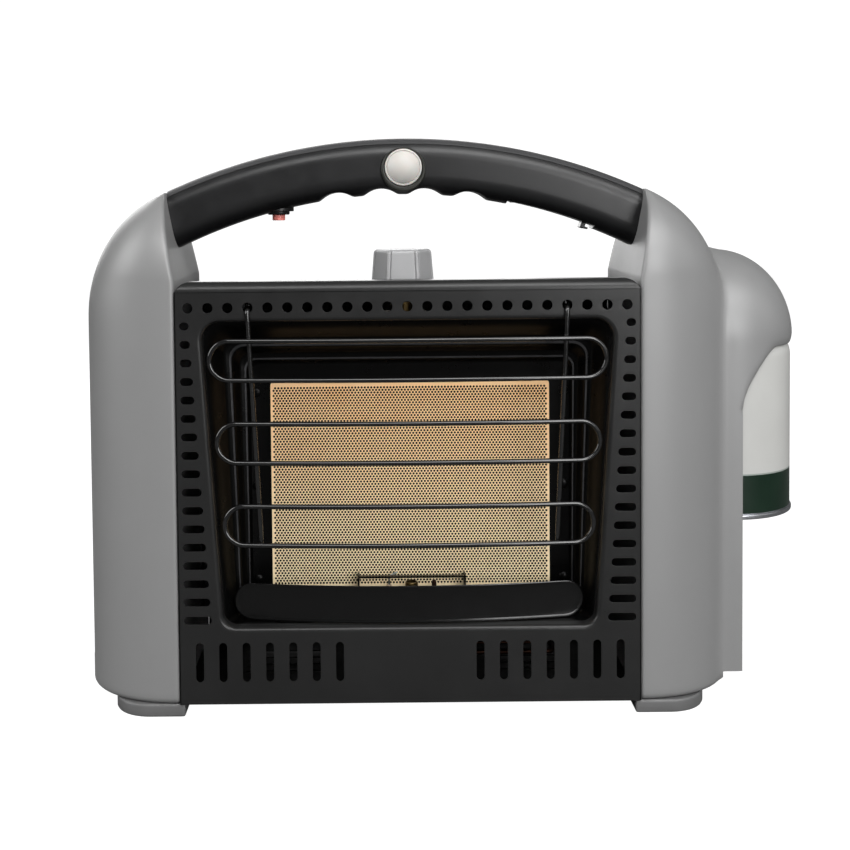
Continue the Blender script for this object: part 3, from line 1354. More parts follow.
KNOB_LOW = mm_box("control_knob")[0]
SPINDLE_LOW, SPINDLE_HIGH = mm_box("valve_spindle")
KNOB_X, KNOB_Y = (SPINDLE_LOW[0] + SPINDLE_HIGH[0]) / 2, (SPINDLE_LOW[1] + SPINDLE_HIGH[1]) / 2
KNOB_R, KNOB_TOP_R, KNOB_H = 19.7, 17.9, 26.0
KNOB_PUSH = 3.0


def knob_ring(z, inset, sunk):
    """The knob's six-sided outline at a height over its foot, with a groove beside each corner."""
    far = KNOB_R * math.cos(math.radians(26)) - (KNOB_R - KNOB_TOP_R) * z / KNOB_H - inset
    half = far * math.tan(math.radians(30)) - 0.45
    side = [(half, 0.12), (half - 0.35, 0.0), (half - 1.0, 0.1), (half - 1.45, 1.0), (half - 1.9, 0.3),
            (half - 2.2, 0.22), (half * 0.4, 0.16)]
    lines = [(-s, d) for s, d in side] + [(s, d) for s, d in side[::-1]]
    out = []
    for a in (math.radians(-90 + 60 * i) for i in range(6)):
        c, s = math.cos(a), math.sin(a)
        for v, d in lines:
            u = far - sunk * d
            out.append((KNOB_X + u * c - v * s, KNOB_Y + u * s + v * c))
    return [(x, y, KNOB_LOW[2] + z) for x, y in out]


def control_knob():
    """The six-sided knob cap with a hub bored for the spindle, deep enough for the push."""
    h, shelf, hub_r, bore_r = KNOB_H, 1.3, 6.0, 3.1
    bore = SPINDLE_HIGH[2] + KNOB_PUSH + 0.3 - KNOB_LOW[2]
    levels = [(0.0, 0.35, 0.0), (0.12, 0.1, 0.0), (0.4, 0.0, 0.0), (0.8, 0.0, 0.0), (shelf, 0.0, 1.0)]
    levels += [(shelf + (h - 4.0) * t, 0.0, 1.0) for t in (0.25, 0.5, 0.75, 1.0)]
    levels += [(h - 2.1, 0.03, 0.9), (h - 1.6, 0.16, 0.7), (h - 1.0, 0.5, 0.35), (h - 0.5, 1.05, 0.0),
               (h - 0.15, 1.75, 0.0), (h, 2.6, 0.0), (h, 6.0, 0.0)]
    rows = [knob_ring(*level) for level in levels]
    points, faces = grid(rows, closed=True)
    n = len(rows[0])
    faces.append(tuple((len(rows) - 1) * n + j for j in range(n)))
    shape = Shape().add((points, faces))
    inside = [rows[0]]
    for z, r in ((0.0, 14.8), (0.3, 14.6), (h - 3.0, 13.0), (h - 3.0, hub_r), (4.3, hub_r),
                 (4.0, hub_r - 0.3), (4.0, bore_r), (bore, bore_r), (bore, 0.01)):
        turns = (math.atan2(y - KNOB_Y, x - KNOB_X) for x, y, _ in rows[0])
        inside.append([(KNOB_X + r * math.cos(a), KNOB_Y + r * math.sin(a), KNOB_LOW[2] + z) for a in turns])
    shape.add(grid(inside, closed=True))
    return piece("knob_cap", shape, "knob", ["control_knob"], body=KNOB, sharp=28.0)


# Wire guard

WIRE_R, LOOP_H, LOOP_BOW = 1.5, 23.4, 4.5
LOOP_W, LOOP_STEP, LOOP_PITCH, LOOP_DROP = 238.8, 7.9, 49.4, 10.9
LOOP_R = LOOP_H / 2
GUARD_Y = mm_box("wire_guard")[0][1] + LOOP_BOW + WIRE_R
UPRIGHT_Y, UPRIGHT_SPAN = -WIRE_R - 0.3, 190.8
FIRST_LOOP = OPEN_TOP - LOOP_DROP - LOOP_R


def guard_loop(number):
    """One flat oval of wire that bows forward, narrower and lower with its number."""
    straight = (LOOP_W - number * LOOP_STEP) / 2 - WIRE_R - LOOP_R
    z = FIRST_LOOP - number * LOOP_PITCH
    run, turn = 40, 22
    half = [(straight * (2 * k / run - 1), -LOOP_R) for k in range(run)]
    half += [(straight + LOOP_R * math.sin(math.pi * k / turn), -LOOP_R * math.cos(math.pi * k / turn))
             for k in range(turn)]
    flat = half + [(-u, -v) for u, v in half]
    path = [(u, GUARD_Y - LOOP_BOW * (1 - (u / straight) ** 2), z + v) for u, v in flat]
    return tube(path, WIRE_R, 18, closed=True, up=(0, 1, 0))


def wire_guard():
    """Three closed loops that bow forward, on two upright wires hooked into the top row of holes."""
    shape = Shape()
    for i in range(3):
        shape.add(guard_loop(i))
    low = FIRST_LOOP - 2 * LOOP_PITCH - LOOP_R - 2
    low_x = (LOOP_W / 2 - LOOP_STEP - WIRE_R - LOOP_R) - 10
    hook_z, hook_y, hook_h = FRAME_TOP - HOLE_DROP - HOLE_D / 2 + WIRE_R + 0.1, 8, 6
    top_x = round(UPRIGHT_SPAN / 2 / HOLE_PITCH) * HOLE_PITCH
    for s in (-1, 1):
        x = s * top_x
        route = bend([(s * low_x, UPRIGHT_Y, low), (x, UPRIGHT_Y, hook_z), (x, hook_y, hook_z),
                      (x, hook_y, hook_z + hook_h)], [0, 2.2, 2.2, 0])
        upright = [route[0] * (1 - t) + route[1] * t for t in np.linspace(0, 0.96, 12)]
        path = np.concatenate([upright, route[1:]])
        radii = np.full(len(path), WIRE_R)
        radii[[0, -1]] = WIRE_R * 0.8
        shape.add(tube(path, radii, 18, up=(0, 1, 0)))
    return piece("guard_wires", shape, "wire", ["wire_guard"], sharp=50.0, weighted=False)


# Reflector, plaque and burner

BURNER_X = 1.8
PLAQUE_LOW, PLAQUE_HIGH = mm_box("burner_plaque")
PLAQUE_MID = (PLAQUE_LOW[2] + PLAQUE_HIGH[2]) / 2
PLAQUE_HALF_W = (PLAQUE_HIGH[0] - PLAQUE_LOW[0]) / 2
PLAQUE_HALF_H = (PLAQUE_HIGH[2] - PLAQUE_LOW[2]) / 2
PLAQUE_Y = PLAQUE_LOW[1]
BACK_Y = PLAQUE_Y + 1
FLANGE_X, FLANGE_Z = PLAQUE_HALF_W + 12, PLAQUE_HALF_H + 12


# Depth, share of the way from the back's outline to the mouth's, and the upper corners' radius
STAIRS = [
    (LIP_D, 1.0, 11.0), (LIP_D + 1.0, 0.93, 10.5), (14.0, 0.79, 10.5), (20.0, 0.66, 10.0),
    (22.0, 0.615, 10.0), (23.0, 0.58, 9.6), (23.5, 0.53, 9.2), (23.8, 0.47, 9.0), (24.2, 0.42, 8.6),
    (25.0, 0.39, 8.4),
    (27.5, 0.34, 8.2), (30.6, 0.27, 8.0), (31.4, 0.245, 7.8), (31.8, 0.21, 7.4), (32.0, 0.14, 7.0),
    (32.4, 0.10, 6.6), (33.2, 0.075, 6.4), (BACK_Y - 0.8, 0.03, 6.0), (BACK_Y - 0.2, 0.012, 5.8),
    (BACK_Y, -0.02, 5.4),
]
RIDGES = ((23.9, 24.3), (31.9, 32.5))


def reflector_line(share, r, grow=0.0):
    """The box's outline between the plaque's flange and the mouth, larger by grow."""
    ends = []
    for mouth in (OPEN_BOTTOM_W / 2, OPEN_TOP_W / 2):
        left, right = BURNER_X - FLANGE_X, BURNER_X + FLANGE_X
        ends.append((left - (mouth + left) * share - grow, right + (mouth - right) * share + grow))
    (left_low, right_low), (left_top, right_top) = ends
    low, high = SILL_Z - grow, PLAQUE_MID + FLANGE_Z
    top = high + (OPEN_TOP - high) * share + grow
    corners = [(left_low, low), (right_low, low), (right_top, top), (left_top, top)]
    return fillet(corners, [3.0, 3.0, r, r], 10)


def reflector():
    """The enamelled box between the front and the plaque, stepped inwards like a picture frame."""
    inner = [at_y(reflector_line(share, r), y) for y, share, r in STAIRS]
    outer = [at_y(reflector_line(share, r + SHEET, SHEET * 0.9), y + 0.35) for y, share, r in STAIRS]
    half = PLAQUE_HALF_W + 0.1
    plaque = box_line(BURNER_X - half, PLAQUE_LOW[2] - 0.1, BURNER_X + half, PLAQUE_HIGH[2] + 0.1, 1.6, 10)
    inner.append(at_y(plaque, BACK_Y))
    outer[-1] = at_y(reflector_line(STAIRS[-1][1], 6.0, SHEET), BACK_Y + SHEET)
    outer.append(at_y(plaque, BACK_Y + SHEET))
    shape = Shape().add(skin(inner, outer, closed=True))
    for k, face in enumerate(shape.faces):
        y = sum(shape.points[v][1] for v in face) / len(face)
        shape.tags[k] = int(any(low < y < high for low, high in RIDGES))
    return piece("reflector_box", shape, ["mirror", "ridge"], ["reflector"], sharp=40.0,
                 weighted=False)


def burner_screw_heads():
    """Low domed screw heads, black enamelled, round the plaque's flange."""
    y, head, shank, length = BACK_Y, 3.15, 1.75, 5.5
    profile = [(0, y - 1.55), (1.2, y - 1.5), (2.3, y - 1.2), (3.0, y - 0.65), (head, y - 0.2), (head, y),
               (shank, y), (shank, y + length), (0, y + length)]
    shape = Shape()
    for sx in (-1, 1):
        for sz in (-1, 0, 1):
            x, z = BURNER_X + sx * (PLAQUE_HALF_W + 8.9), PLAQUE_MID + sz * (PLAQUE_HALF_H - 6)
            shape.add(turned(profile, (x, 0, z), "y", 28))
    return piece("burner_screw_heads", shape, "mirror", ["burner_screws"], sharp=45.0)


HOLE_STEP, HOLE_ROW, PORE, PORE_DEPTH = 2.0, 1.6, 1.56, 2.2
CELL_W, CELL_H = HOLE_STEP / 2, HOLE_ROW * 2 / 3


def burner_plaque():
    """The ceramic plaque: a block whose face has staggered pits inside a plain rim."""
    y, back = PLAQUE_Y, PLAQUE_HIGH[1]
    rim_x, rim_low, rim_top = 0.7, 2.0, 2.4
    x0, x1 = BURNER_X - PLAQUE_HALF_W, BURNER_X + PLAQUE_HALF_W
    z0, z1 = PLAQUE_LOW[2], PLAQUE_HIGH[2]
    cols = int((x1 - x0 - 2 * rim_x) / HOLE_STEP)
    rows = int((z1 - z0 - rim_low - rim_top) / HOLE_ROW)
    left, foot = (x0 + x1) / 2 - cols * HOLE_STEP / 2, (z0 + z1) / 2 - rows * HOLE_ROW / 2
    corners = [(math.cos(a), math.sin(a)) for a in (math.pi / 6 + math.pi / 3 * k for k in range(6))]
    r = PORE / 2
    points, faces = [], []
    for j in range(rows):
        odd = j % 2
        for i in range(cols - odd):
            cx, cz = left + HOLE_STEP * (i + 0.5 + odd / 2), foot + HOLE_ROW * (j + 0.5)
            s = len(points)
            points += [(cx + CELL_W * u, y, cz + CELL_H * v)
                       for u, v in ((1, 0.5), (0, 1), (-1, 0.5), (-1, -0.5), (0, -1), (1, -0.5))]
            for size, depth in ((r, 0.0), (r * 0.9, PORE_DEPTH)):
                points += [(cx + size * u, y + depth, cz + size * v) for u, v in corners]
            for k in range(6):
                q = (k + 1) % 6
                faces += [(t + k, t + q, t + 6 + q, t + 6 + k) for t in (s, s + 6)]
            faces.append(tuple(s + 12 + k for k in range(6)))
    shape = Shape().add((points, faces))
    shape.tags = [int(k % 13 == 12 or k % 13 % 2) for k in range(len(shape.faces))]
    outline = box_line(x0, z0, x1, z1, 1.7)
    shape.add(ring_fill(outline, plaque_border(left, foot, cols, rows), y))
    points, sides = grid([at_y(outline, y), at_y(outline, back)], closed=True)
    n = len(outline)
    shape.add((points, sides + [tuple(n + k for k in range(n))]))
    return piece("plaque_ceramic_block", shape, ["plaque", "plaque_deep"],
                 ["burner_plaque"], sharp=40.0, weighted=False, merge=0.02)


def plaque_border(left, foot, cols, rows):
    """The zigzag outline of the field of pits, walked round once."""
    odd = (rows - 1) % 2
    low, high = foot + HOLE_ROW * 0.5, foot + HOLE_ROW * (rows - 0.5)
    bottom, top, right_side, left_side = [], [], [], []
    for i in range(cols):
        cx = left + HOLE_STEP * (i + 0.5)
        bottom += [(cx - CELL_W, low - CELL_H / 2), (cx, low - CELL_H)]
    bottom.append((left + HOLE_STEP * cols, low - CELL_H / 2))
    for i in range(cols - odd):
        cx = left + HOLE_STEP * (i + 0.5 + odd / 2)
        top += [(cx - CELL_W, high + CELL_H / 2), (cx, high + CELL_H)]
    top.append((left + HOLE_STEP * (cols - odd / 2), high + CELL_H / 2))
    for j in range(rows):
        cz, inset = foot + HOLE_ROW * (j + 0.5), CELL_W * (j % 2)
        for side, x in ((right_side, left + HOLE_STEP * cols - inset), (left_side, left + inset)):
            side.extend([(x, cz - CELL_H / 2), (x, cz + CELL_H / 2)])
    out = []
    for p in bottom + right_side[1:] + top[::-1] + left_side[::-1]:
        if not out or math.dist(p, out[-1]) > 0.01:
            out.append(p)
    return out[:-1] if math.dist(out[0], out[-1]) < 0.01 else out


def ring_fill(outline, inside, y):
    """Fills the flat ring between two outlines."""
    bm = bmesh.new()
    for loop in (outline, inside):
        verts = [bm.verts.new((p[0], y, p[1])) for p in loop]
        for k in range(len(verts)):
            bm.edges.new((verts[k], verts[(k + 1) % len(verts)]))
    bmesh.ops.triangle_fill(bm, use_beauty=False, use_dissolve=False, edges=bm.edges[:])
    bm.verts.index_update()
    points = [tuple(v.co) for v in bm.verts]
    faces = [tuple(v.index for v in f.verts) for f in bm.faces]
    bm.free()
    return points, faces


def deflector_plate():
    """The long bowed plate below the plaque, with softened edges and a narrow turned lip."""
    low, high = mm_box("deflector_plate")
    half, half_h, mid = (high[0] - low[0]) / 2, (high[2] - low[2]) / 2, (high[2] + low[2]) / 2
    back, bow, rim, thick, lip, n = LIP_D + 8, 11.0, 0.35, 0.8, 0.3, 180
    bow_r = (half * half + bow * bow) / (2 * bow)

    def at(u, v, off):
        return (u, back - bow + bow_r - math.sqrt((bow_r - off) ** 2 - u * u), v)

    def inset(d):
        return dense(slot_loop(0, mid, 2 * (half - d), 2 * (half_h - d), 16), n)

    rows = []
    for off, d in ((thick, 3.0), (thick, rim), (0.65, 0.08), (0.4, 0.0), (0.15, 0.08), (0.0, rim), (0.0, 1.4),
                   (0.25, 2.0), (lip, 2.6)):
        rows.append([at(u, v, off) for u, v in inset(d)])
    shape = Shape().add(grid(rows, closed=True))
    for off, d in ((lip, 2.6), (thick, 3.0)):
        shape.add(strip_fill(inset(d), mid, lambda u, v: at(u, v, off)))
    return piece("deflector_bow", shape, "gloss", ["deflector_plate"], sharp=40.0,
                 weighted=False)


def dense(loop, count):
    """A closed line cut into equal steps."""
    line = np.array(loop + [loop[0]], float)
    runs = np.concatenate([[0], np.cumsum(np.hypot(*np.diff(line, axis=0).T))])
    t = np.linspace(0, runs[-1], count + 1)[:-1]
    return list(zip(np.interp(t, runs, line[:, 0]), np.interp(t, runs, line[:, 1])))


def strip_fill(loop, mid, place):
    """Closes a wide, low outline with upright strips."""
    n = len(loop)
    order = sorted(range(n), key=lambda k: loop[k][0])
    points = [place(*p) for p in loop]
    upper = [k for k in order if loop[k][1] >= mid]
    lower = [k for k in order if loop[k][1] < mid]
    faces = []
    i = j = 0
    while i < len(upper) - 1 or j < len(lower) - 1:
        if j == len(lower) - 1 or (i < len(upper) - 1 and loop[upper[i + 1]][0] <= loop[lower[j + 1]][0]):
            faces.append((upper[i], upper[i + 1], lower[j]))
            i += 1
        else:
            faces.append((upper[i], lower[j + 1], lower[j]))
            j += 1
    return points, faces


# Cartridge and gas train

CAN_LOW, CAN_HIGH = mm_box("cartridge_can")
BASE_LOW, BASE_HIGH = mm_box("cartridge_base")
VALVE_TOP = mm_box("cartridge_valve")[1][2]
CAN_X, CAN_R = (CAN_LOW[0] + CAN_HIGH[0]) / 2, (CAN_HIGH[0] - CAN_LOW[0]) / 2
SEAM_R, SEAM_H = (BASE_HIGH[0] - BASE_LOW[0]) / 2 - 0.02, 3.0
CAN_Z, SHOULDER_H, NECK_R, CUP_R, THREAD_R = BASE_LOW[2], 21.5, 17.0, 15.0, 5.5
CAN_TOP, CAN_WALL = CAN_HIGH[2] - SHOULDER_H, 0.6
CAN_AXIS = (CAN_X, CAN_Y, 0)


def can_body():
    """The steel can that carries the painted label, with its rounded shoulder."""
    foot, head = CAN_Z + SEAM_H, CAN_TOP + SHOULDER_H
    outer = [(CAN_R - 0.5, foot - 0.4), (CAN_R - 0.1, foot + 0.3), (CAN_R, foot + 0.9)]
    outer += [(CAN_R, z) for z in np.linspace(foot + 8, CAN_TOP - 3, 8)]
    outer += corner_arc(NECK_R, CAN_TOP, CAN_R - NECK_R, 0, 88, 26, SHOULDER_H)
    outer += [(NECK_R - 0.6, head), (CUP_R, head)]
    inner = [(max(r - CAN_WALL, CUP_R), z - CAN_WALL * (r < CAN_R - 2)) for r, z in outer]
    return piece("can_body", turned(outer + inner[::-1], CAN_AXIS, "z", 128, ring=True), "can",
                 ["cartridge_can"], body=CARTRIDGE, sharp=40.0)


def can_seam():
    """The rolled bottom seam with the dished end."""
    dish, edge, foot, head = 9.0, SEAM_R - 5.0, CAN_Z, CAN_Z + SEAM_H
    ball = (edge ** 2 + dish ** 2) / (2 * dish)
    bowl = [(t, foot + dish - ball + math.sqrt(ball ** 2 - t * t)) for t in np.linspace(0, edge, 22)]
    seam = bowl + [(edge + 0.3, foot)] + corner_arc(SEAM_R - 0.9, foot + 0.9, 0.9, -90, 0, 5)
    seam += corner_arc(SEAM_R - 0.8, head - 0.8, 0.8, 0, 90, 5) + [(CAN_R - 0.6, head)]
    seam += [(edge, head - 0.4), (edge, foot + 1.2)] + [(t, z + CAN_WALL) for t, z in bowl[-2::-1]]
    return piece("can_seam", turned(seam, CAN_AXIS, "z", 128), "steel", ["cartridge_base"],
                 body=CARTRIDGE, sharp=40.0)


def can_valve():
    """The valve's cup and its threaded stem."""
    turns, top = 7, VALVE_TOP
    neck, core = top - 9.0, THREAD_R - 0.45
    stem = [(0, neck - 3), (CUP_R - 0.4, neck - 3), (CUP_R, neck - 2.6), (CUP_R, neck - 0.5),
            (CUP_R - 0.5, neck), (CUP_R - 2.0, neck), (CUP_R - 2.6, neck - 0.8),
            (THREAD_R + 1.5, neck - 0.8), (THREAD_R + 0.6, neck - 0.4)]
    for z in (neck + k for k in range(turns)):
        stem += [(core, z), (THREAD_R, z + 0.35), (THREAD_R, z + 0.6), (core, z + 0.95)]
    stem += [(THREAD_R - 0.4, neck + turns), (THREAD_R - 0.5, top - 0.5), (THREAD_R - 1.0, top), (2.2, top),
             (2.2, top - 2.0), (0, top - 2.0)]
    return piece("can_valve", turned(stem, CAN_AXIS), "brass", ["cartridge_valve"],
                 body=CARTRIDGE, sharp=30.0)


def regulator():
    """The die-cast regulator under the hood with its bored socket."""
    low, high = mm_box("regulator")
    r, axis = (high[0] - low[0]) / 2, ((low[0] + high[0]) / 2, (low[1] + high[1]) / 2, 0)
    foot, body, top, neck, bore = low[2], VALVE_TOP + 2, high[2], 10.0, THREAD_R + 0.08
    profile = [(bore, foot), (neck - 0.6, foot), (neck, foot + 0.6), (neck, body)]
    profile += corner_arc(r - 1.5, body + 1.5, 1.5, -90, 0, 5)
    profile += [(r, body + 7.0), (r - 0.7, body + 7.6), (r - 0.7, body + 9.0), (r, body + 9.6)]
    profile += corner_arc(r - 3, top - 3, 3.0, 0, 90, 8)
    profile += [(7, top), (6.5, top - 0.8), (0, top - 0.8), (0, VALVE_TOP + 1.5), (bore, VALVE_TOP + 1.5)]
    return piece("regulator_casting", turned(profile, axis, "z", 72), "alloy", ["regulator"],
                 sharp=38.0)


PAN_BACK = PLAQUE_Y + 37
VALVE_W, VALVE_D = 30.0, 26.0
VALVE_LOW_Z, VALVE_HIGH_Z = PLATE_Z - 38, PLATE_Z - 10
VALVE_LEFT, VALVE_RIGHT, VALVE_REAR = KNOB_X - VALVE_W / 2, KNOB_X + VALVE_W / 2, KNOB_Y + VALVE_D / 2
PILOT_Y, PILOT_BASE, LEAD_Z, DROP_Y = BACK_Y - 8, SILL_Z - 9, SILL_Z - 20, PAN_BACK + 8
VENTURI_Y, VENTURI_Z = PAN_BACK + 16, PLAQUE_MID - 40
JET_X = BURNER_X - 114
PORT_Z, INLET_Z = DOME_Z + 29, VALVE_HIGH_Z - 12
PILOT_SIDE, PILOT_COLLAR = 14.0, SILL_Z + 1.2


def along(start, **moves):
    """A route from a start, along one axis after the other to the value given for it."""
    route = [tuple(start)]
    for axis, value in moves.items():
        here = list(route[-1])
        here["xyz".index(axis)] = value
        route.append(tuple(here))
    return route


def pipes():
    """The three gas pipes and the electrode's lead, each one bent from one length."""
    cheek = HOOD_X - HOOD_R - 0.5 * (HOOD_X - HOOD_R - FRAME_X - WALL)
    jet_z, pilot_z, lead_z = VALVE_LOW_Z + 10, LEAD_Z - 6, LEAD_Z + 6
    pipe_low, lead_low = VALVE_LOW_Z + 5, VALVE_LOW_Z + 8
    to_jet = along((VALVE_LEFT, KNOB_Y, jet_z), x=JET_X - 8, y=VENTURI_Y, z=VENTURI_Z)
    to_jet.append((JET_X, VENTURI_Y, VENTURI_Z))
    to_valve = along((CAN_X - 20, CAN_Y, PORT_Z), x=cheek, z=INLET_Z)
    to_valve += along((FRAME_X - 30, CAN_Y, INLET_Z), y=KNOB_Y, x=VALVE_RIGHT)
    to_pilot = along((BURNER_X, PILOT_Y, PILOT_BASE), z=pilot_z, x=90, y=DROP_Y + 5)
    to_pilot += along((90, DROP_Y + 5, pipe_low), x=KNOB_X, y=VALVE_REAR)
    to_electrode = along((BURNER_X - PILOT_SIDE, PILOT_Y, PILOT_BASE), z=lead_z, x=JET_X + 7, y=DROP_Y - 2)
    to_electrode += along((JET_X + 7, DROP_Y - 2, lead_low), x=KNOB_X - 9, y=VALVE_REAR)
    for name, route, radius, bend_r, mat, slot, node in (
            ("pipe_to_jet", to_jet, 3.0, 7.0, "copper", "pipe_copper", "jet_pipe"),
            ("pipe_to_valve", to_valve, 3.0, 5.0, "copper", "pipe_copper", "inlet_pipe"),
            ("pipe_to_pilot", to_pilot, 1.5, 5.0, "copper", "pipe_copper", "pilot_pipe"),
            ("lead_to_electrode", to_electrode, 1.0, 5.0, "insulation", "lead_insulation", "ignition_lead")):
        piece(name, tube(bend(route, bend_r), radius), mat, [node], sharp=35.0)


def electrode():
    """The ignition electrode: a ceramic sleeve with a collar and a bent steel tip."""
    x, base, collar = BURNER_X - PILOT_SIDE, PILOT_BASE, PILOT_COLLAR
    sleeve = [(0, base), (1.7, base), (2, base + 0.3), (2, collar), (3.3, collar), (3.5, collar + 0.3),
              (3.5, collar + 2.6), (3.2, collar + 3), (2.1, collar + 3), (1.9, collar + 8), (2, base + 25.4),
              (1.5, base + 26), (0, base + 26)]
    shape = Shape().add(turned(sleeve, (x, PILOT_Y, 0), "z", 32))
    tip = [(x, PILOT_Y, base + 24), (x, PILOT_Y, base + 31.4), (x + 5.3, PILOT_Y, base + 34.0)]
    shape.add(tube(bend(tip, 2.0), 0.62, 12), tag=1)
    return piece("electrode", shape, ["white_ceramic", "steel"], ["ignition_electrode"],
                 sharp=40.0)


def pilot_tube():
    """The pilot burner's tube with its hooded end."""
    base, collar, top = PILOT_BASE, PILOT_COLLAR, PILOT_BASE + 28
    profile = [(3.0, top), (3.6, top), (4.0, top - 0.5), (4.0, top - 6), (3.6, top - 6.4), (3.6, top - 8),
               (4.0, top - 8.4), (4.0, collar + 3), (5.2, collar + 3), (5.4, collar + 2.7),
               (5.4, collar + 0.2), (5.2, collar), (4.0, collar), (4.0, base), (0, base), (0, base + 6),
               (3.0, base + 6)]
    return piece("pilot_tube", turned(profile, (BURNER_X, PILOT_Y, 0), "z", 36), "brass",
                 ["pilot_burner"], sharp=35.0)


def thermocouple():
    """The thermocouple's probe and the thin tube that leads from it to the valve."""
    x, base, collar, top = BURNER_X + PILOT_SIDE, PILOT_BASE, PILOT_COLLAR, PILOT_BASE + 29
    side, end = 82.0, VALVE_LOW_Z + 14
    route = along((x, PILOT_Y, base + 1), z=LEAD_Z, x=side, y=DROP_Y)
    route += along((side, DROP_Y, end), x=KNOB_X + 9, y=VALVE_REAR)
    shape = Shape().add(tube(bend(route, 5.0), 1.0, 12))
    probe = [(0, base), (1.3, base), (1.5, base + 0.3), (1.5, collar), (2.8, collar), (3, collar + 0.3),
             (3, collar + 2.7), (2.8, collar + 3), (1.5, collar + 3), (1.5, top - 1.5), (1.1, top - 0.4),
             (0.5, top), (0, top)]
    shape.add(turned(probe, (x, PILOT_Y, 0), "z", 28))
    return piece("thermocouple_probe", shape, "copper", ["thermocouple"], sharp=40.0)


def pilot_shield():
    """The bracket that holds the pilot group: a tray with upright ends and a bar across its front."""
    w, t, deep, shelf = 33.5, 1.2, 12.0, SILL_Z + 24
    front = (BURNER_X, PILOT_Y - deep / 2, 0)
    corners = [(-w, SILL_Z), (w, SILL_Z), (w, shelf), (w - t, shelf), (w - t, SILL_Z + t),
               (-w + t, SILL_Z + t), (-w + t, shelf), (-w, shelf)]
    tray = fillet(corners, [2.0, 2.0, 0.3, 0.3, 0.8, 0.8, 0.3, 0.3], 5)
    shape = Shape().add(cut_sheet([tray], deep, edge=0.12), turn=FLAT_XZ, move=front)
    bar = box_line(-w, shelf - t, w, shelf, 0.3, 3)
    shape.add(cut_sheet([bar], 3.0, edge=0.12), turn=FLAT_XZ, move=front)
    return piece("pilot_shield", shape, "gloss", ["pilot_bracket"], sharp=35.0)


def gas_tap():
    """The valve's cast body with its threaded bushing."""
    top, w, d, bore = mm_box("gas_valve")[1][2], VALVE_W / 2, VALVE_D / 2, 3.1
    rows = []
    for z, c in ((VALVE_LOW_Z, 0.8), (VALVE_LOW_Z + 0.2, 0.3), (VALVE_LOW_Z + 0.8, 0.0),
                 (VALVE_HIGH_Z - 0.8, 0.0), (VALVE_HIGH_Z - 0.2, 0.3), (VALVE_HIGH_Z, 0.8)):
        rows.append([(KNOB_X + u, KNOB_Y + v, z) for u, v in box_line(-w + c, -d + c, w - c, d - c, 1.6, 5)])
    shape = Shape().add(grid(rows, closed=True, caps=True))
    low, high = VALVE_HIGH_Z - 0.5, PLATE_Z - SHEET
    profile = [(bore, low), (8, low), (8, high), (6, high)]
    for z in (PLATE_Z + 0.1 + 0.7 * k for k in range(4)):
        profile += [(6, z), (5.65, z + 0.35)]
    profile += [(5.8, top), (bore, top)]
    shape.add(turned(profile, (KNOB_X, KNOB_Y, 0), "z", 48, ring=True))
    return piece("valve_casting", shape, "brass", ["gas_valve"], sharp=32.0)


def valve_nut():
    """The hexagon nut that holds the valve to the top plate."""
    rows = []
    for h, r in ((0, 8.6), (0.35, 9.0), (2.0, 9.0), (2.4, 8.6), (2.4, 6.1), (0, 6.1)):
        rows.append([(u, v, PLATE_Z + h) for u, v in circle(KNOB_X, KNOB_Y, r, 6)])
    return piece("valve_hex_nut", grid(rows, closed=True, looped=True), "steel",
                 ["valve_nut"], sharp=25.0)


def spring(name, node, centre, trim, wire, turns):
    """A round wire compression spring, as high as its node's box."""
    low, high = mm_box(node)
    r, height, steps = (high[0] - low[0]) / 2 - trim, high[2] - low[2], turns * 32
    path = []
    for k in range(steps + 1):
        a = 2 * math.pi * k / 32
        z = low[2] + wire / 2 + (height - wire) * k / steps
        path.append((centre[0] + r * math.cos(a), centre[1] + r * math.sin(a), z))
    return piece(name, tube(path, wire / 2, 10), "steel", [node], sharp=50.0)


# Covers and fasteners


LEAN = math.atan(BACK_LEAN / (FRAME_TOP - FOOT_H))
COVER_Y = BODY_D - 2.0
COVER_RUN = (PLATE_Z - SHEET - FOOT_H) / math.cos(LEAN)
VENT_STARTS = (28.0, COVER_RUN - 60)


def on_cover(x, off, run):
    """A point of the leaning rear cover: across, outwards and up along it."""
    c, s = math.cos(LEAN), math.sin(LEAN)
    return (x, COVER_Y + off * c - run * s, FOOT_H + run * c + off * s)


def rear_cover():
    """The leaning rear sheet with its two groups of vent slots."""
    holes = [slot_loop(x, start + 9 * i, 60.0, 4.0, 10)
             for x in (-80, 0, 80) for start in VENT_STARTS for i in range(5)]
    x = FRAME_X - 0.1
    outline = box_line(-x, 0.3, x, COVER_RUN - 0.3, 1.0, 4)
    points, faces = cut_sheet([outline] + holes, SHEET, edge=0.15)
    points = [on_cover(u, w - SHEET, v) for u, v, w in points]
    return piece("rear_sheet", (points, faces), "frame", ["rear_cover"], sharp=38.0)


def screws():
    """The pan-head screws of the rear cover, and those that hold the feet from below."""
    rear, under = Shape(), Shape()
    for x in (-110.0, 0.0, 110.0):
        for run in (8.0, COVER_RUN - 9.0):
            rear.add(pan_screw(3.5, 1.6, 7.0), turn=Matrix.Rotation(LEAN, 3, "X"), move=on_cover(x, 0.0, run))
    for x in (-145.0, 145.0):
        for y in (30.0, BODY_D - 30):
            under.add(pan_screw(3.5, 2.4, 12.0), turn=Matrix.Rotation(-math.pi / 2, 3, "X"), move=(x, y, 4.0))
    piece("rear_screw_heads", rear, "steel", ["rear_cover_screws"], sharp=30.0)
    piece("foot_screw_heads", under, "steel", ["foot_screws"], sharp=30.0)


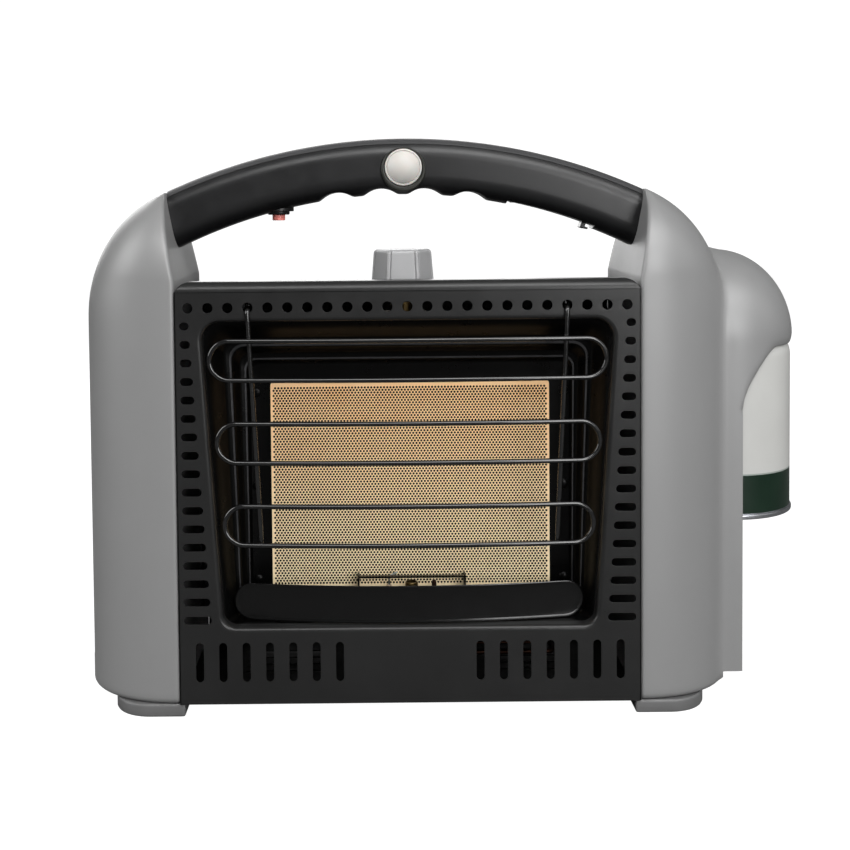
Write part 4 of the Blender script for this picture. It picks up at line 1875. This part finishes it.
def pan_screw(r, h, length):
    """A pan-head screw with its head towards +y from y 0, a cross recess, and its shank behind."""
    shank, arm, reach = 1.75, r * 0.17, r * 0.56
    narrow = math.degrees(math.atan(arm / reach))
    angles = [math.radians(90 * q + t) for q in range(4)
              for t in (0, narrow / 2, narrow, 30, 45, 60, 90 - narrow, 90 - narrow / 2)]

    def ring(radius, y):
        return [(radius * math.cos(a), y, radius * math.sin(a)) for a in angles]

    def cross(scale, y):
        out = []
        for a in angles:
            c, s = max(abs(math.cos(a)), 1e-6), max(abs(math.sin(a)), 1e-6)
            far = scale * max(min(reach / c, arm / s), min(arm / c, reach / s))
            out.append((far * math.cos(a), y, far * math.sin(a)))
        return out

    rows = [ring(shank, -length), ring(shank, 0), ring(r - 0.1, 0), ring(r, 0.12), ring(r - 0.08, h * 0.4),
            ring(r * 0.88, h * 0.75), ring(r * 0.72, h * 0.93), ring(r * 0.6, h), cross(1.0, h - 0.02),
            cross(0.75, h * 0.45)]
    return grid(rows, closed=True, caps=True)


def top_sheet():
    """The top plate behind the rolled edge, with slots clear of the knob."""
    x, back = FRAME_X - SHEET, back_y(PLATE_Z) - 2.0
    slots = [slot_loop(u, v, 12, 3)
             for u in range(-100, 101, 20) for v in (24, 82) if abs(u - KNOB_X) > 20 or v > 60]
    outline = [(-x, FLANGE_D - SHEET), (x, FLANGE_D - SHEET), (x, back - 0.1), (-x, back - 0.1)]
    shape = Shape().add(cut_sheet([outline, circle(KNOB_X, KNOB_Y, 6.1, 40)] + slots, SHEET, edge=0.12),
                        move=(0, 0, PLATE_Z - SHEET))
    return piece("top_sheet", shape, "inner", ["top_plate"], sharp=38.0)


def base_sheet():
    """The base plate with three groups of slots."""
    x, far = FRAME_X - SHEET, mm_box("base_plate")[1][1]
    slots = [slot_loop(u, v, 50, 5) for u in (-80, 0, 80) for v in (50, 62, 74, 86)]
    outline = [(-x, SHEET), (x, SHEET), (x, far), (-x, far)]
    shape = Shape().add(cut_sheet([outline] + slots, SHEET, edge=0.12), move=(0, 0, FOOT_H))
    return piece("base_sheet", shape, "inner", ["base_plate"], sharp=38.0)


def batteries():
    """Two cells side by side in the handle, with printed sleeves and bright ends."""
    angle, half, cell = (DOOR_FROM + DOOR_TO) / 2, 44.5 / 2, 10.5 / 2
    r = DOOR_R + DOOR_T + cell + 0.3
    sleeve = [(0, -half), (cell - 1.6, -half), (cell - 1.4, -half + 0.3), (cell - 0.5, -half + 0.3),
              (cell - 0.05, -half + 0.7), (cell, -half + 1.4), (cell, half - 2.2), (cell - 0.2, half - 1.6),
              (cell - 0.9, half - 1.05)]
    cap = [(cell - 0.9, half - 1.05), (1.9, half - 1.0), (1.9, half - 0.2), (1.7, half), (0, half)]
    lean = Matrix.Rotation(angle, 3, "Y")
    shape = Shape()
    for s in (-1, 1):
        for tag, profile in enumerate((sleeve, cap)):
            shape.add(turned(profile, (0, 0, 0), "x", 40), tag, lean, on_handle(angle, r, s * (cell + 0.1)))
    return piece("battery_cells", shape, ["battery", "steel"], ["batteries"], sharp=35.0)


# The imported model's nodes by the finish they get, also those that a piece stands for
NODE_FINISH = {
    "panel": "left_side_panel right_side_panel cartridge_hood",
    "frame": "front_frame rear_cover",
    "inner": "top_plate base_plate",
    "foot": "left_foot right_foot",
    "knob": "control_knob",
    "handle": "handle_shell switch_housing battery_cover",
    "strip": "handle_top_cover",
    "dark": "lamp_collar",
    "lens": "lamp_lens",
    "board": "lamp_board",
    "insulation": "lamp_leads ignition_lead",
    "red": "switch_button",
    "battery": "batteries",
    "wire": "wire_guard",
    "mirror": "reflector burner_screws",
    "gloss": "deflector_plate pilot_bracket",
    "plaque": "burner_plaque",
    "gasket": "plaque_gasket",
    "zinc": "burner_pan venturi_tube heat_shield",
    "brass": "gas_jet pilot_burner gas_valve cartridge_valve",
    "white_ceramic": "ignition_electrode",
    "copper": "thermocouple inlet_pipe jet_pipe pilot_pipe",
    "alloy": "regulator",
    "rubber": "regulator_seal",
    "can": "cartridge_can",
    "steel": "switch_spring battery_contacts regulator_bracket valve_nut valve_spindle knob_spring"
             " cartridge_base handle_screws rear_cover_screws foot_screws",
}


def finish_nodes():
    """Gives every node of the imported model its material."""
    for key, nodes in NODE_FINISH.items():
        for node in nodes.split():
            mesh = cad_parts[node].data
            mesh.materials.clear()
            mesh.materials.append(MAT[key].mat)


MAT = build_materials()
make_camera()
make_lights()
ground, dome = make_floor(), make_backdrop()
side_panel("skin_left_side_panel", -1, panel_skins(False))
right_skins = panel_skins(True)
side_panel("skin_right_side_panel", 1, right_skins)
hood(right_skins[3])
front_frame()
foot_piece(-1)
foot_piece(1)
handle_shell()
handle_strip()
lamp_collar()
lamp_lens()
lamp_board()
switch_collar()
switch_button()
battery_cover()
control_knob()
wire_guard()
reflector()
burner_screw_heads()
burner_plaque()
deflector_plate()
can_body()
can_seam()
can_valve()
regulator()
pipes()
electrode()
pilot_tube()
thermocouple()
pilot_shield()
gas_tap()
valve_nut()
spring("spring_under_knob", "knob_spring", (KNOB_X, KNOB_Y), 0.4, 0.8, 4)
spring("spring_in_switch", "switch_spring", (SWITCH_X, HANDLE_SET), 0.3, 0.6, 5)
rear_cover()
screws()
top_sheet()
base_sheet()
batteries()
finish_nodes()
